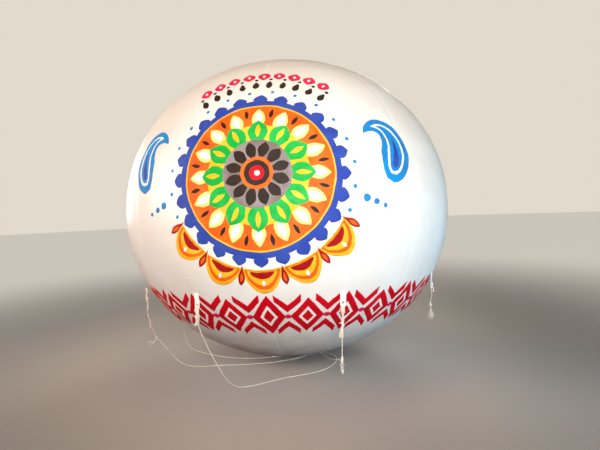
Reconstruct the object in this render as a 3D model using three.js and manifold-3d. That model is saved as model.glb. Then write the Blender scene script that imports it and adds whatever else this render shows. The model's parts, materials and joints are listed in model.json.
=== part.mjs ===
// Advertising sky balloon, inflated: an oblate envelope of eight gores, white, with a ring of eight
// hanging load tabs. Each tab has an eyelet. Ropes are tied to five of the tabs: one is a short frayed
// end, the other four come down and run over the floor to a steel load ring under the envelope.
// Millimetres, +Z up. The origin is the middle of the envelope at its widest, where the lift acts.
// The front seam faces -Y, and azimuths are counted from it towards +X.

import * as THREE from 'three';
import { mergeVertices } from 'three/addons/utils/BufferGeometryUtils.js';
import Module from 'manifold-3d';

const wasm = await Module();
wasm.setup();

const GAP = 0.3;                      // clearance between pieces that touch

// Envelope
const EQUATOR_RADIUS = 1830;          // 12 ft across
const CROWN_HEIGHT = 1700;
const BASE_DEPTH = 1660;
const FULLNESS = 2.05;                // exponent of the profile; 2 would be an ellipse
const SHELL = 10;
const TIP_RADIUS = 20;                // hole that the gore tips leave at each pole
const ROW_STEP = 9;                   // degrees between profile points
const GORES = 8;
const FACETS_PER_GORE = 5;
const CAP_RADIUS = 180;               // round patches over the gore tips
const CAP_THICKNESS = 3;

// Floor that the ropes lie on
const FLOOR = -1690;

// Load tabs, on the facet between the rows at -18 and -27 degrees
const TAB_ROWS = [-18, -27];
const TAB_HINGE_LEVEL = -681;         // height of the fold where a tab leaves its patch
const HINGE_STANDOFF = 2.0;           // from the skin to the middle of the fold
const TAB_WIDTH = 54;
const TAB_LENGTH = 138;
const TAB_THICKNESS = 3;
const TAB_CORNER = 9;
const EYELET_DROP = 108;              // from the fold to the eyelet
const PATCH_WIDTH = 130;
const PATCH_LENGTH = 150;
const PATCH_THICKNESS = 3;
const PATCH_CORNER = 22;
const PATCH_EDGE = 2.4;               // from the fold to the patch's lower edge

// Eyelet in each tab
const EYELET_BORE = 7.6;
const EYELET_BARREL = 8.8;
const EYELET_FLANGE = 13;
const FLANGE_THICKNESS = 1.2;
const TAB_HOLE = 9.5;

// Ropes and the hitches that tie them
const ROPE_RADIUS = 4;
const ROPE_SIDES = 8;
const BIGHT_DROP = 1.9;               // the rope rests on the low side of the bore
const HITCH_TOP = 146;                // from the fold down to the wound shank
const HITCH_END = 232;
const HITCH_RADIUS = 10;
const HITCH_WAIST = 8.8;
const HITCH_TURNS = 5;
const HITCH_SIDES = 8;
const ROPE_LEAD = 24;                 // straight stretch where a rope leaves its hitch
const ROPE_REST = FLOOR + ROPE_RADIUS;

// Steel load ring, flat on the floor
const RING_CENTRE = [270, -115];
const RING_RADIUS = 35;
const RING_SECTION = 5;
const RING_CHAMFER = 2;

// Filler neck at the back, tied shut, on the facet between the rows at -54 and -63 degrees
const NECK_ROWS = [-54, -63];
const NECK_STATION = 4;
const NECK_FLANGE = 75;
const NECK_FLANGE_THICKNESS = 3;
const NECK_RADIUS = 34;
const NECK_WAIST = 13;
const NECK_SKIRT = 30;
const NECK_TIE_DROP = 95;
const NECK_LENGTH = 165;
const TIE_RADIUS = 3;

const WHITE_SKIN = { color: 0xefece6, roughness: 0.42, metalness: 0.0 };
const WHITE_TAPE = { color: 0xf4f2ee, roughness: 0.5, metalness: 0.0 };
const PLATED_BRASS = { color: 0xb9b4a6, roughness: 0.32, metalness: 0.9 };
const COTTON_ROPE = { color: 0xe9dcc4, roughness: 0.9, metalness: 0.0 };
const GALVANISED = { color: 0x9b9d9f, roughness: 0.38, metalness: 0.9 };

const balloon = new THREE.Group();

function addMesh(parent, name, geometry, look) {
  const mesh = new THREE.Mesh(geometry, new THREE.MeshStandardMaterial(look));
  mesh.name = name;
  parent.add(mesh);
  return mesh;
}

// Booleans

function toSolid(geometry) {
  const bare = geometry.clone();
  bare.deleteAttribute('normal');
  bare.deleteAttribute('uv');
  const merged = mergeVertices(bare, 1e-3);
  return new wasm.Manifold(new wasm.Mesh({
    numProp: 3,
    vertProperties: new Float32Array(merged.attributes.position.array),
    triVerts: new Uint32Array(merged.index.array),
  }));
}

function toGeometry(solid) {
  const mesh = solid.getMesh();
  const geometry = new THREE.BufferGeometry();
  geometry.setAttribute('position', new THREE.BufferAttribute(mesh.vertProperties, 3));
  geometry.setIndex(new THREE.BufferAttribute(mesh.triVerts, 1));
  const flat = geometry.toNonIndexed();
  flat.computeVertexNormals();
  return flat;
}

// The envelope's profile: a point of its outer side, or of its inner side with an inset

function profilePoint(degrees, inset = 0) {
  const angle = THREE.MathUtils.degToRad(degrees);
  const power = 2 / FULLNESS;
  const height = degrees > 0 ? CROWN_HEIGHT : BASE_DEPTH;
  const radius = (EQUATOR_RADIUS - inset) * Math.cos(angle) ** power;
  const level = (height - inset) * Math.sign(degrees) * Math.abs(Math.sin(angle)) ** power;
  return new THREE.Vector2(radius, level);
}

function tipAngle() {
  return THREE.MathUtils.radToDeg(Math.acos((TIP_RADIUS / EQUATOR_RADIUS) ** (FULLNESS / 2)));
}

function profileRows() {
  const rows = [-tipAngle()];
  for (let row = -90 + ROW_STEP; row < 90; row += ROW_STEP) rows.push(row);
  rows.push(tipAngle());
  return rows;
}

function turned(points, segments) {
  const closed = [...points, points[0].clone()];
  return new THREE.LatheGeometry(closed, segments).rotateX(Math.PI / 2);
}

function shellSolid() {
  const rows = profileRows();
  const outer = rows.map((row) => profilePoint(row));
  const inner = rows.map((row) => profilePoint(row, SHELL)).reverse();
  return toSolid(turned([...outer, ...inner], GORES * FACETS_PER_GORE));
}

function wedgeSolid(azimuth) {
  const half = Math.PI / GORES;
  const apex = (GAP / 2) / Math.sin(half);
  const reach = 2 * EQUATOR_RADIUS;
  const spread = (reach - apex) * Math.tan(half);
  const outline = new THREE.Shape()
    .moveTo(apex, 0)
    .lineTo(reach, -spread)
    .lineTo(reach, spread);
  const wedge = new THREE.ExtrudeGeometry(outline, { depth: 2 * reach, bevelEnabled: false });
  wedge.translate(0, 0, -reach);
  wedge.rotateZ(azimuth - Math.PI / 2);
  return toSolid(wedge);
}

// A station is the middle of a gore, where a tab hangs. In its frame +X points outwards.

function stationAzimuth(station) {
  return (station - 0.5) * 2 * Math.PI / GORES;
}

function stationFrame(station) {
  const frame = new THREE.Group();
  frame.rotation.z = stationAzimuth(station) - Math.PI / 2;
  balloon.add(frame);
  return frame;
}

function inFrame(station, outwards, level) {
  const azimuth = stationAzimuth(station);
  return new THREE.Vector3(outwards * Math.sin(azimuth), -outwards * Math.cos(azimuth), level);
}

// The flat facet between two rows, in a station's frame: its lean and the point of it at a level

function facet([upperRow, lowerRow]) {
  const flatten = Math.cos(Math.PI / (GORES * FACETS_PER_GORE));
  const upper = profilePoint(upperRow);
  const lower = profilePoint(lowerRow);
  upper.x *= flatten;
  lower.x *= flatten;
  const lean = Math.atan2(upper.x - lower.x, upper.y - lower.y);
  const outwardsAt = (level) => THREE.MathUtils.mapLinear(level, upper.y, lower.y, upper.x, lower.x);
  return { lean, outwardsAt, middle: (upper.y + lower.y) / 2 };
}

function roundedPlate(width, bottom, top, corner, thickness) {
  const half = width / 2;
  const outline = new THREE.Shape();
  outline.moveTo(-half + corner, bottom);
  outline.lineTo(half - corner, bottom);
  outline.absarc(half - corner, bottom + corner, corner, -Math.PI / 2, 0);
  outline.lineTo(half, top - corner);
  outline.absarc(half - corner, top - corner, corner, 0, Math.PI / 2);
  outline.lineTo(-half + corner, top);
  outline.absarc(-half + corner, top - corner, corner, Math.PI / 2, Math.PI);
  outline.lineTo(-half, bottom + corner);
  outline.absarc(-half + corner, bottom + corner, corner, Math.PI, 1.5 * Math.PI);
  return new THREE.ExtrudeGeometry(outline, { depth: thickness, bevelEnabled: false, curveSegments: 3 });
}

// Stands a plate drawn in XY up, so that its width runs along Y and its thickness along +X

function stoodUp(geometry) {
  return geometry.rotateX(Math.PI / 2).rotateZ(Math.PI / 2);
}

function addGores() {
  const shell = shellSolid();
  for (let station = 1; station <= GORES; station += 1) {
    const gore = shell.intersect(wedgeSolid(stationAzimuth(station)));
    addMesh(balloon, `gore_${station}`, toGeometry(gore), WHITE_SKIN);
  }
}

// A round patch over the tips, its underside parallel to the last row of facets

function addCap(name, side) {
  const tip = profilePoint(side * tipAngle());
  const next = profilePoint(side * (90 - ROW_STEP));
  const rim = THREE.MathUtils.mapLinear(CAP_RADIUS, tip.x, next.x, tip.y, next.y);
  const under = side * GAP;
  const over = side * (GAP + CAP_THICKNESS);
  const outline = [
    new THREE.Vector2(0, tip.y + under),
    new THREE.Vector2(tip.x, tip.y + under),
    new THREE.Vector2(CAP_RADIUS, rim + under),
    new THREE.Vector2(CAP_RADIUS, rim + over),
    new THREE.Vector2(tip.x, tip.y + over),
    new THREE.Vector2(0, tip.y + over),
  ];
  if (side > 0) outline.reverse();
  outline.reverse();
  const segments = GORES * FACETS_PER_GORE;
  const cap = new THREE.LatheGeometry(outline, segments).rotateX(Math.PI / 2);
  addMesh(balloon, name, cap, WHITE_TAPE);
}

const tabFacet = facet(TAB_ROWS);
const foldOutwards = tabFacet.outwardsAt(TAB_HINGE_LEVEL) + HINGE_STANDOFF * Math.cos(tabFacet.lean);
const foldLevel = TAB_HINGE_LEVEL - HINGE_STANDOFF * Math.sin(tabFacet.lean);

function patchGeometry() {
  const top = PATCH_EDGE + PATCH_LENGTH;
  const plate = stoodUp(roundedPlate(PATCH_WIDTH, PATCH_EDGE, top, PATCH_CORNER, PATCH_THICKNESS));
  return plate.translate(GAP, 0, 0);
}

// A strap with a rounded fold at the top and a hole for its eyelet

function tabGeometry() {
  const half = TAB_WIDTH / 2;
  const outline = new THREE.Shape();
  outline.moveTo(-half, 0);
  outline.lineTo(-half, TAB_CORNER - TAB_LENGTH);
  outline.lineTo(TAB_CORNER - half, -TAB_LENGTH);
  outline.lineTo(half - TAB_CORNER, -TAB_LENGTH);
  outline.lineTo(half, TAB_CORNER - TAB_LENGTH);
  outline.lineTo(half, 0);
  const hole = new THREE.Path().absarc(0, -EYELET_DROP, TAB_HOLE, 0, 2 * Math.PI, true);
  outline.holes.push(hole);
  const strap = new THREE.ExtrudeGeometry(outline, {
    depth: TAB_THICKNESS, bevelEnabled: false, curveSegments: 6,
  });
  stoodUp(strap).translate(-TAB_THICKNESS / 2, 0, 0);
  const fold = new THREE.CylinderGeometry(TAB_THICKNESS / 2, TAB_THICKNESS / 2, TAB_WIDTH, 8);
  return toGeometry(toSolid(strap).add(toSolid(fold)));
}

function eyeletGeometry() {
  const face = TAB_THICKNESS / 2 + GAP;
  const outer = face + FLANGE_THICKNESS;
  const outline = [
    [EYELET_BORE, -outer], [EYELET_FLANGE, -outer], [EYELET_FLANGE, -face], [EYELET_BARREL, -face],
    [EYELET_BARREL, face], [EYELET_FLANGE, face], [EYELET_FLANGE, outer], [EYELET_BORE, outer],
  ].map(([radius, along]) => new THREE.Vector2(radius, along));
  const ring = new THREE.LatheGeometry([...outline, outline[0].clone()], 12);
  return ring.rotateZ(Math.PI / 2).translate(0, 0, -EYELET_DROP);
}

function ropeSection() {
  return new THREE.Shape().absarc(0, 0, ROPE_RADIUS, 0, 2 * Math.PI);
}

function ropeTube(points, steps) {
  const extrudePath = new THREE.CatmullRomCurve3(points);
  return new THREE.ExtrudeGeometry(ropeSection(), {
    steps, extrudePath, bevelEnabled: false, curveSegments: ROPE_SIDES / 2,
  });
}

// The rope's bight through the eyelet, and the wound shank under the tab

function hitchGeometry() {
  const bight = -EYELET_DROP - BIGHT_DROP;
  const legs = [
    [2, -HITCH_TOP - 30], [6, -HITCH_TOP - 6], [9.5, bight - 20], [8.6, bight - 7.4], [4.6, bight - 0.9],
    [0, bight],
    [-4.6, bight - 0.9], [-8.6, bight - 7.4], [-9.5, bight - 20], [-6, -HITCH_TOP - 6], [-2, -HITCH_TOP - 30],
  ].map(([outwards, level]) => new THREE.Vector3(outwards, 0, level));
  const outline = [new THREE.Vector2(0, -HITCH_TOP)];
  const turn = (HITCH_END - HITCH_TOP) / (HITCH_TURNS + 1);
  for (let index = 0; index < HITCH_TURNS; index += 1) {
    const level = -HITCH_TOP - index * turn;
    outline.push(new THREE.Vector2(HITCH_WAIST, level));
    outline.push(new THREE.Vector2(HITCH_RADIUS, level - turn / 2));
  }
  outline.push(new THREE.Vector2(HITCH_WAIST, -HITCH_END + turn));
  outline.push(new THREE.Vector2(ROPE_RADIUS, -HITCH_END));
  outline.push(new THREE.Vector2(0, -HITCH_END));
  const shank = new THREE.LatheGeometry(outline.reverse(), HITCH_SIDES).rotateX(Math.PI / 2);
  return toGeometry(toSolid(ropeTube(legs, 16)).add(toSolid(shank)));
}

const ROPED_STATIONS = [1, 2, 6, 7, 8];

function addTabs() {
  const patch = patchGeometry();
  const tab = tabGeometry();
  const eyelet = eyeletGeometry();
  const hitch = hitchGeometry();
  for (let station = 1; station <= GORES; station += 1) {
    const frame = stationFrame(station);
    const patchMesh = addMesh(frame, `tab_patch_${station}`, patch, WHITE_TAPE);
    patchMesh.position.set(tabFacet.outwardsAt(TAB_HINGE_LEVEL), 0, TAB_HINGE_LEVEL);
    patchMesh.rotation.y = tabFacet.lean;
    const fold = new THREE.Group();
    fold.position.set(foldOutwards, 0, foldLevel);
    frame.add(fold);
    addMesh(fold, `load_tab_${station}`, tab, WHITE_TAPE);
    addMesh(fold, `eyelet_${station}`, eyelet, PLATED_BRASS);
    if (ROPED_STATIONS.includes(station)) addMesh(fold, `hitch_${station}`, hitch, COTTON_ROPE);
  }
}

// Ropes. Each route starts under its hitch and is a list of [x, y, z]; 'rest' is the rope on the floor.

const ROPE_ROUTES = {
  1: [
    [632, -1546, -985], [623, -1547, -1080], [618, -1547, -1180], [616, -1546, -1262], [613, -1536, -1296],
    [609, -1514, -1308], [603, -1470, -1318], [588, -1330, -1358], [566, -1150, -1418], [541, -950, -1490],
    [511, -750, -1560], [476, -565, -1622], [436, -410, -1668], [392, -290, ROPE_REST], [346, -205, ROPE_REST],
  ],
  2: [
    [1540, -641, -960], [1537, -642, -1010], [1539, -641, -1060], [1541, -640, -1110], [1542, -639, -1165],
  ],
  6: [
    [-1552, 643, -985], [-1572, 648, -1090], [-1600, 652, -1220], [-1628, 652, -1370], [-1645, 638, -1510],
    [-1642, 596, -1622], [-1604, 520, -1678], [-1545, 405, ROPE_REST], [-1452, 215, ROPE_REST],
    [-1348, 45, ROPE_REST], [-1240, -72, ROPE_REST], [-1090, -176, ROPE_REST], [-900, -278, ROPE_REST],
    [-700, -346, ROPE_REST], [-500, -372, ROPE_REST], [-340, -352, ROPE_REST], [-180, -304, ROPE_REST],
    [-20, -240, ROPE_REST], [110, -180, ROPE_REST],
  ],
  7: [
    [-1553, -641, -985], [-1550, -641, -1070], [-1527, -638, -1180], [-1492, -634, -1290], [-1464, -631, -1356],
    [-1428, -628, -1398], [-1380, -622, -1454], [-1312, -612, -1548], [-1236, -602, -1630],
    [-1150, -602, -1676], [-1060, -614, ROPE_REST], [-930, -620, ROPE_REST], [-790, -594, ROPE_REST],
    [-610, -574, ROPE_REST], [-425, -550, ROPE_REST], [-240, -510, ROPE_REST], [-60, -448, ROPE_REST],
    [75, -366, ROPE_REST], [170, -262, ROPE_REST],
  ],
  8: [
    [-634, -1542, -985], [-606, -1526, -1080], [-566, -1486, -1220], [-524, -1420, -1370],
    [-488, -1334, -1510], [-452, -1248, -1618], [-404, -1186, -1674], [-330, -1150, ROPE_REST],
    [-240, -1106, ROPE_REST], [-120, -1022, ROPE_REST], [20, -930, ROPE_REST], [180, -854, ROPE_REST],
    [340, -764, ROPE_REST], [454, -640, ROPE_REST], [516, -490, ROPE_REST], [524, -350, ROPE_REST],
    [484, -248, ROPE_REST], [408, -182, ROPE_REST],
  ],
};

const ROPE_STEPS = { 1: 40, 2: 10, 6: 44, 7: 44, 8: 44 };

function ringPoint(from) {
  const centre = new THREE.Vector3(RING_CENTRE[0], RING_CENTRE[1], ROPE_REST);
  const away = new THREE.Vector3(from[0], from[1], ROPE_REST).sub(centre).normalize();
  return centre.addScaledVector(away, RING_RADIUS + RING_SECTION + GAP);
}

function addRopes() {
  for (const station of ROPED_STATIONS) {
    const start = inFrame(station, foldOutwards, foldLevel - HITCH_END - GAP);
    const route = ROPE_ROUTES[station];
    const lead = start.clone().setZ(start.z - ROPE_LEAD);
    const points = [start, lead, ...route.map((point) => new THREE.Vector3(...point))];
    const last = route[route.length - 1];
    if (last[2] === ROPE_REST) points.push(ringPoint(last));
    addMesh(balloon, `rope_${station}`, ropeTube(points, ROPE_STEPS[station]), COTTON_ROPE);
  }
}

function addLoadRing() {
  const low = -RING_SECTION;
  const high = RING_SECTION;
  const inner = RING_RADIUS - RING_SECTION;
  const outer = RING_RADIUS + RING_SECTION;
  const cut = RING_CHAMFER;
  const outline = [
    [inner, low + cut], [inner + cut, low], [outer - cut, low], [outer, low + cut],
    [outer, high - cut], [outer - cut, high], [inner + cut, high], [inner, high - cut],
  ].map(([radius, level]) => new THREE.Vector2(radius, level));
  const ring = addMesh(balloon, 'load_ring', turned(outline, 20), GALVANISED);
  ring.position.set(RING_CENTRE[0], RING_CENTRE[1], FLOOR + RING_SECTION);
}

// The neck's flange lies on its facet, and the sleeve hangs from it, gathered by the tie

function addNeck() {
  const seat = facet(NECK_ROWS);
  const frame = stationFrame(NECK_STATION);
  const flange = new THREE.CylinderGeometry(NECK_FLANGE, NECK_FLANGE, NECK_FLANGE_THICKNESS, 20);
  flange.rotateZ(Math.PI / 2).translate(GAP + NECK_FLANGE_THICKNESS / 2, 0, 0).rotateY(seat.lean);
  const above = new THREE.BoxGeometry(400, 400, 400);
  above.translate(-200 + GAP, 0, 0).rotateY(seat.lean);
  const outline = [
    [0, 60], [NECK_RADIUS, 60], [NECK_RADIUS, -40], [NECK_WAIST, -NECK_TIE_DROP + 10],
    [NECK_WAIST, -NECK_TIE_DROP - 10], [NECK_SKIRT, -NECK_LENGTH], [0, -NECK_LENGTH],
  ].map(([radius, level]) => new THREE.Vector2(radius, level)).reverse();
  const sleeve = new THREE.LatheGeometry(outline, 16).rotateX(Math.PI / 2);
  const neck = toSolid(sleeve).subtract(toSolid(above)).add(toSolid(flange));
  const neckMesh = addMesh(frame, 'filler_neck', toGeometry(neck), WHITE_TAPE);
  neckMesh.position.set(seat.outwardsAt(seat.middle), 0, seat.middle);
  const tie = new THREE.TorusGeometry(NECK_WAIST + TIE_RADIUS + GAP, TIE_RADIUS, 6, 16);
  const tieMesh = addMesh(frame, 'neck_tie', tie, COTTON_ROPE);
  tieMesh.position.set(seat.outwardsAt(seat.middle), 0, seat.middle - NECK_TIE_DROP);
}

addGores();
addCap('crown_patch', 1);
addCap('base_patch', -1);
addTabs();
addRopes();
addLoadRing();
addNeck();

export default balloon;
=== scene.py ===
"""Advertising sky balloon: its skin, seams, painted design, load tabs and ropes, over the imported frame.

Metres, +Z up, with the origin in the middle of the envelope at its widest. Azimuths are degrees from the
front seam, which faces -Y, towards +X. A steepness is the profile's own angle, 90 at the crown and -90 at
the base. Colours are written as they look on a screen and are turned to linear light by `linear`.
"""

from __future__ import annotations

import json
import logging
import math
from dataclasses import dataclass, field
from enum import Enum
from functools import partial
from typing import Callable, Sequence

import bpy
import numpy as np
from mathutils import Matrix, Vector
from mathutils.geometry import delaunay_2d_cdt

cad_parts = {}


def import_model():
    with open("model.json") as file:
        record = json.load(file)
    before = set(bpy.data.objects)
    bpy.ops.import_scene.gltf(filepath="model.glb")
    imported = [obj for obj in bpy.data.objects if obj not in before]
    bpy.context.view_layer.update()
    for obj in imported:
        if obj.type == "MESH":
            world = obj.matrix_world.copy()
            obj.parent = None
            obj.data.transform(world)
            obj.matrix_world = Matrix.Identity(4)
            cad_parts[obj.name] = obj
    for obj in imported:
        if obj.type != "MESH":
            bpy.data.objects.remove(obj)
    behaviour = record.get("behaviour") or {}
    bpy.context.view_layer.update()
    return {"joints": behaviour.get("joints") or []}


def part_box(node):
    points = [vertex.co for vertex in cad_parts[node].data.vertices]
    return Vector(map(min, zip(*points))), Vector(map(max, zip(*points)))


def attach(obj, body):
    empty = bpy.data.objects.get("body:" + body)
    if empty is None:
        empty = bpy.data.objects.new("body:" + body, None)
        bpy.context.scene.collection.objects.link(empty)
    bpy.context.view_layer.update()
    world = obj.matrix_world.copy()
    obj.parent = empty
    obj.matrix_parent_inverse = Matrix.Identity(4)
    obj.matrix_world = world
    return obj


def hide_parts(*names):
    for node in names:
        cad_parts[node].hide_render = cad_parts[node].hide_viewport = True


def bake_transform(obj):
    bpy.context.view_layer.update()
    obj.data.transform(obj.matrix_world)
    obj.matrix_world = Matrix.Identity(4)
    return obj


LOG = logging.getLogger("sky_balloon")

ENVELOPE_BODY = "envelope"
GORES = 8
FLOOR_LEVEL = -1.690
NECK_STATION = 4

Row = Sequence[float]
Point = tuple[float, float, float]
Run = tuple[Point, ...]
Placing = Callable[[np.ndarray], tuple[np.ndarray, np.ndarray]]


def linear(red: float, green: float, blue: float) -> tuple[float, float, float, float]:
    """Turns a screen colour of 0 to 255 a channel into linear light.

    Args:
        red: Red as seen on a screen.
        green: Green as seen on a screen.
        blue: Blue as seen on a screen.

    Returns:
        The colour with an alpha of 1.
    """
    channels = []
    for value in (red, green, blue):
        share = value / 255
        channels.append(share / 12.92 if share <= 0.04045 else ((share + 0.055) / 1.055) ** 2.4)
    return (*channels, 1.0)


class Signal:
    """A node's socket that takes part in Python arithmetic."""

    def __init__(self, graph: Graph, socket: bpy.types.NodeSocket) -> None:
        """Keeps the socket and the graph that it is in."""
        self.graph = graph
        self.socket = socket

    def __add__(self, other: Signal | float) -> Signal:
        """Adds."""
        return self.graph.math("ADD", self, other)

    def __sub__(self, other: Signal | float) -> Signal:
        """Subtracts."""
        return self.graph.math("SUBTRACT", self, other)

    def __rsub__(self, other: float) -> Signal:
        """Subtracts from a number."""
        return self.graph.math("SUBTRACT", other, self)

    def __mul__(self, other: Signal | float) -> Signal:
        """Multiplies."""
        return self.graph.math("MULTIPLY", self, other)

    def __truediv__(self, other: Signal | float) -> Signal:
        """Divides."""
        return self.graph.math("DIVIDE", self, other)

    __radd__ = __add__
    __rmul__ = __mul__

    def wave(self) -> Signal:
        """The sine of the value, moved to run from 0 to 1."""
        return self.graph.math("SINE", self) * 0.5 + 0.5

    def between(self, low: float, high: float) -> Signal:
        """A smooth 0 to 1 as the value goes from low to high."""
        ranges = {0: self, 1: low, 2: high, 3: 0.0, 4: 1.0}
        return self.graph.node("ShaderNodeMapRange", ranges, interpolation_type="SMOOTHSTEP")["Result"]


class Made:
    """A node that was just added, read by the names of its outputs."""

    def __init__(self, graph: Graph, node: bpy.types.Node) -> None:
        """Keeps the node and its graph."""
        self.graph = graph
        self.node = node

    def __getitem__(self, output: str | int) -> Signal:
        """The output of that name or place."""
        return Signal(self.graph, self.node.outputs[output])


class Graph:
    """A node tree that is filled through one method."""

    def __init__(self, tree: bpy.types.NodeTree) -> None:
        """Keeps the tree, emptied."""
        self.tree = tree
        tree.nodes.clear()

    def node(self, kind: str, inputs: dict | None = None, **settings: object) -> Made:
        """Adds a node.

        Args:
            kind: The node's type.
            inputs: Values or links for its sockets, by name or place.
            **settings: Its properties, set first.

        Returns:
            The node, to read its outputs from.
        """
        node = self.tree.nodes.new(kind)
        for key, value in settings.items():
            setattr(node, key, value)
        for key, value in (inputs or {}).items():
            for one in value if isinstance(value, list) else [value]:
                if isinstance(one, Signal):
                    self.tree.links.new(one.socket, node.inputs[key])
                else:
                    node.inputs[key].default_value = one
        return Made(self, node)

    def math(self, operation: str, *values: Signal | float) -> Signal:
        """The result of a Math node with those inputs."""
        return self.node("ShaderNodeMath", dict(enumerate(values)), operation=operation)["Value"]

    def point(self, *axes: Signal | float) -> Signal:
        """A vector of three numbers."""
        return self.node("ShaderNodeCombineXYZ", dict(enumerate(axes)))["Vector"]

    def mix(self, factor: Signal | float, first: Signal | Row, second: Signal | Row) -> Signal:
        """Mixes two colours by a factor."""
        return self.node("ShaderNodeMix", {0: factor, 6: first, 7: second}, data_type="RGBA")[2]

    def place(self, scale: Row = (1.0, 1.0, 1.0)) -> Signal:
        """The point on the surface in the object's own metres, scaled a side."""
        place = self.node("ShaderNodeTexCoord")["Object"]
        return self.node("ShaderNodeMapping", {"Vector": place, "Scale": scale})["Vector"]

    def noise(self, place: Signal, scale: float, detail: float = 2.0, rough: float = 0.5) -> Signal:
        """Smooth noise of about 0.3 to 0.7, with that many patches a metre."""
        values = {"Vector": place, "Scale": scale, "Detail": detail, "Roughness": rough}
        return self.node("ShaderNodeTexNoise", values)["Fac"]

    def bump(self, height: Signal, depth: float, under: Signal | None = None) -> Signal:
        """Bends the normal by a height that spans that depth in metres, on top of another bump.

        Args:
            height: The height, from 0 to 1.
            depth: The height's span in metres.
            under: The normal that is already bent.

        Returns:
            The bent normal.
        """
        values = {"Height": height, "Distance": depth, "Strength": 1.0}
        if under is not None:
            values["Normal"] = under
        return self.node("ShaderNodeBump", values)["Normal"]

    def slack(self) -> Signal:
        """The normal, bent by the inflated sheet's slack ripples."""
        return self.bump(self.noise(self.place((1.0, 1.0, 0.45)), 2.6, 2.0, 0.4), 0.012)


@dataclass(frozen=True)
class Finish:
    """A surface finish, made once as a material of its own name."""

    name: str

    def shade(self, graph: Graph) -> dict:
        """Builds the finish's nodes and returns the shader's inputs."""
        raise NotImplementedError

    def material(self) -> bpy.types.Material:
        """The finish's material, made on first use.

        Returns:
            The material of the finish's name.
        """
        found = bpy.data.materials.get(self.name)
        if found is not None:
            return found
        material = bpy.data.materials.new(self.name)
        material.use_nodes = True
        graph = Graph(material.node_tree)
        shader = graph.node("ShaderNodeBsdfPrincipled", self.shade(graph))
        graph.node("ShaderNodeOutputMaterial", {"Surface": shader["BSDF"]})
        return material


@dataclass(frozen=True)
class SkinFinish(Finish):
    """White coated sheet, satin, a little scuffed and dusty towards the base."""

    fresh: Row = linear(243, 241, 236)
    aged: Row = linear(236, 230, 219)
    dust: Row = linear(196, 186, 172)

    def shade(self, graph: Graph) -> dict:
        """Builds mottled white, dust that gathers low down, scuffs, and slack ripples.

        Args:
            graph: The material's node tree.

        Returns:
            The shader's inputs, by name.
        """
        place = graph.place()
        level = graph.node("ShaderNodeSeparateXYZ", {0: place})["Z"]
        mottle = graph.noise(place, 1.3, 3.0).between(0.38, 0.64)
        scuffs = graph.noise(graph.place((7.0, 7.0, 1.6)), 4.0, 6.0, 0.7).between(0.58, 0.72)
        low = 1.0 - level.between(-1.66, -0.7)
        dusty = graph.noise(place, 5.0, 4.0, 0.62).between(0.42, 0.66) * (low * 0.4 + 0.05)
        colour = graph.mix(mottle * 0.7, self.fresh, self.aged)
        colour = graph.mix(dusty + scuffs * 0.07, colour, self.dust)
        crinkles = graph.noise(place, 34.0, 3.0, 0.6)
        grain = graph.noise(place, 900.0, 2.0)
        pressed = graph.bump(crinkles, 0.0011, graph.slack())
        rough = mottle * 0.08 + scuffs * 0.12 + dusty * 0.25 + 0.33
        normal = graph.bump(grain, 0.00012, pressed)
        return {"Base Color": colour, "Roughness": rough, "Normal": normal, "Specular IOR Level": 0.45}


@dataclass(frozen=True)
class WeldFinish(Finish):
    """White tape and patches, pressed on by a ribbed hot bar."""

    rib: float = 0.0032
    tone: Row = linear(245, 243, 238)
    glue: Row = linear(228, 216, 192)

    def shade(self, graph: Graph) -> dict:
        """Builds the ribs of the hot bar across the tape, with a trace of yellowed glue.

        Args:
            graph: The material's node tree.

        Returns:
            The shader's inputs, by name.
        """
        place = graph.place()
        along = graph.node("ShaderNodeSeparateXYZ", {0: graph.node("ShaderNodeUVMap")["UV"]})
        ribs = (along["Y"] * (2 * math.pi / self.rib)).wave()
        glue = graph.noise(place, 22.0, 4.0, 0.7).between(0.56, 0.74)
        colour = graph.mix(glue * 0.3, self.tone, self.glue)
        pressed = graph.bump(ribs, 0.00022)
        normal = graph.bump(graph.noise(place, 60.0, 3.0), 0.0006, pressed)
        rough = glue * 0.15 + 0.42
        return {"Base Color": colour, "Roughness": rough, "Normal": normal, "Specular IOR Level": 0.3}


@dataclass(frozen=True)
class WebbingFinish(Finish):
    """White woven strap: crossed ribs, a little soiled where it is handled."""

    pitch: float = 0.0016
    tone: Row = linear(251, 250, 246)
    soil: Row = linear(222, 210, 188)

    def shade(self, graph: Graph) -> dict:
        """Builds a plain weave from two crossed waves on the strap's own map.

        Args:
            graph: The material's node tree.

        Returns:
            The shader's inputs, by name.
        """
        place = graph.place()
        across = graph.node("ShaderNodeSeparateXYZ", {0: graph.node("ShaderNodeUVMap")["UV"]})
        turns = 2 * math.pi / self.pitch
        weft = (across["X"] * turns).wave()
        warp = (across["Y"] * turns).wave()
        weave = weft * warp + (1.0 - weft) * (1.0 - warp)
        soil = graph.noise(place, 30.0, 5.0, 0.7).between(0.5, 0.76)
        colour = graph.mix(soil * 0.3 + weave * 0.05, self.tone, self.soil)
        normal = graph.bump(weave, 0.0003, graph.bump(graph.noise(place, 45.0), 0.0012))
        return {"Base Color": colour, "Roughness": weave * 0.1 + 0.6, "Normal": normal, "Sheen Weight": 0.1}


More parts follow.
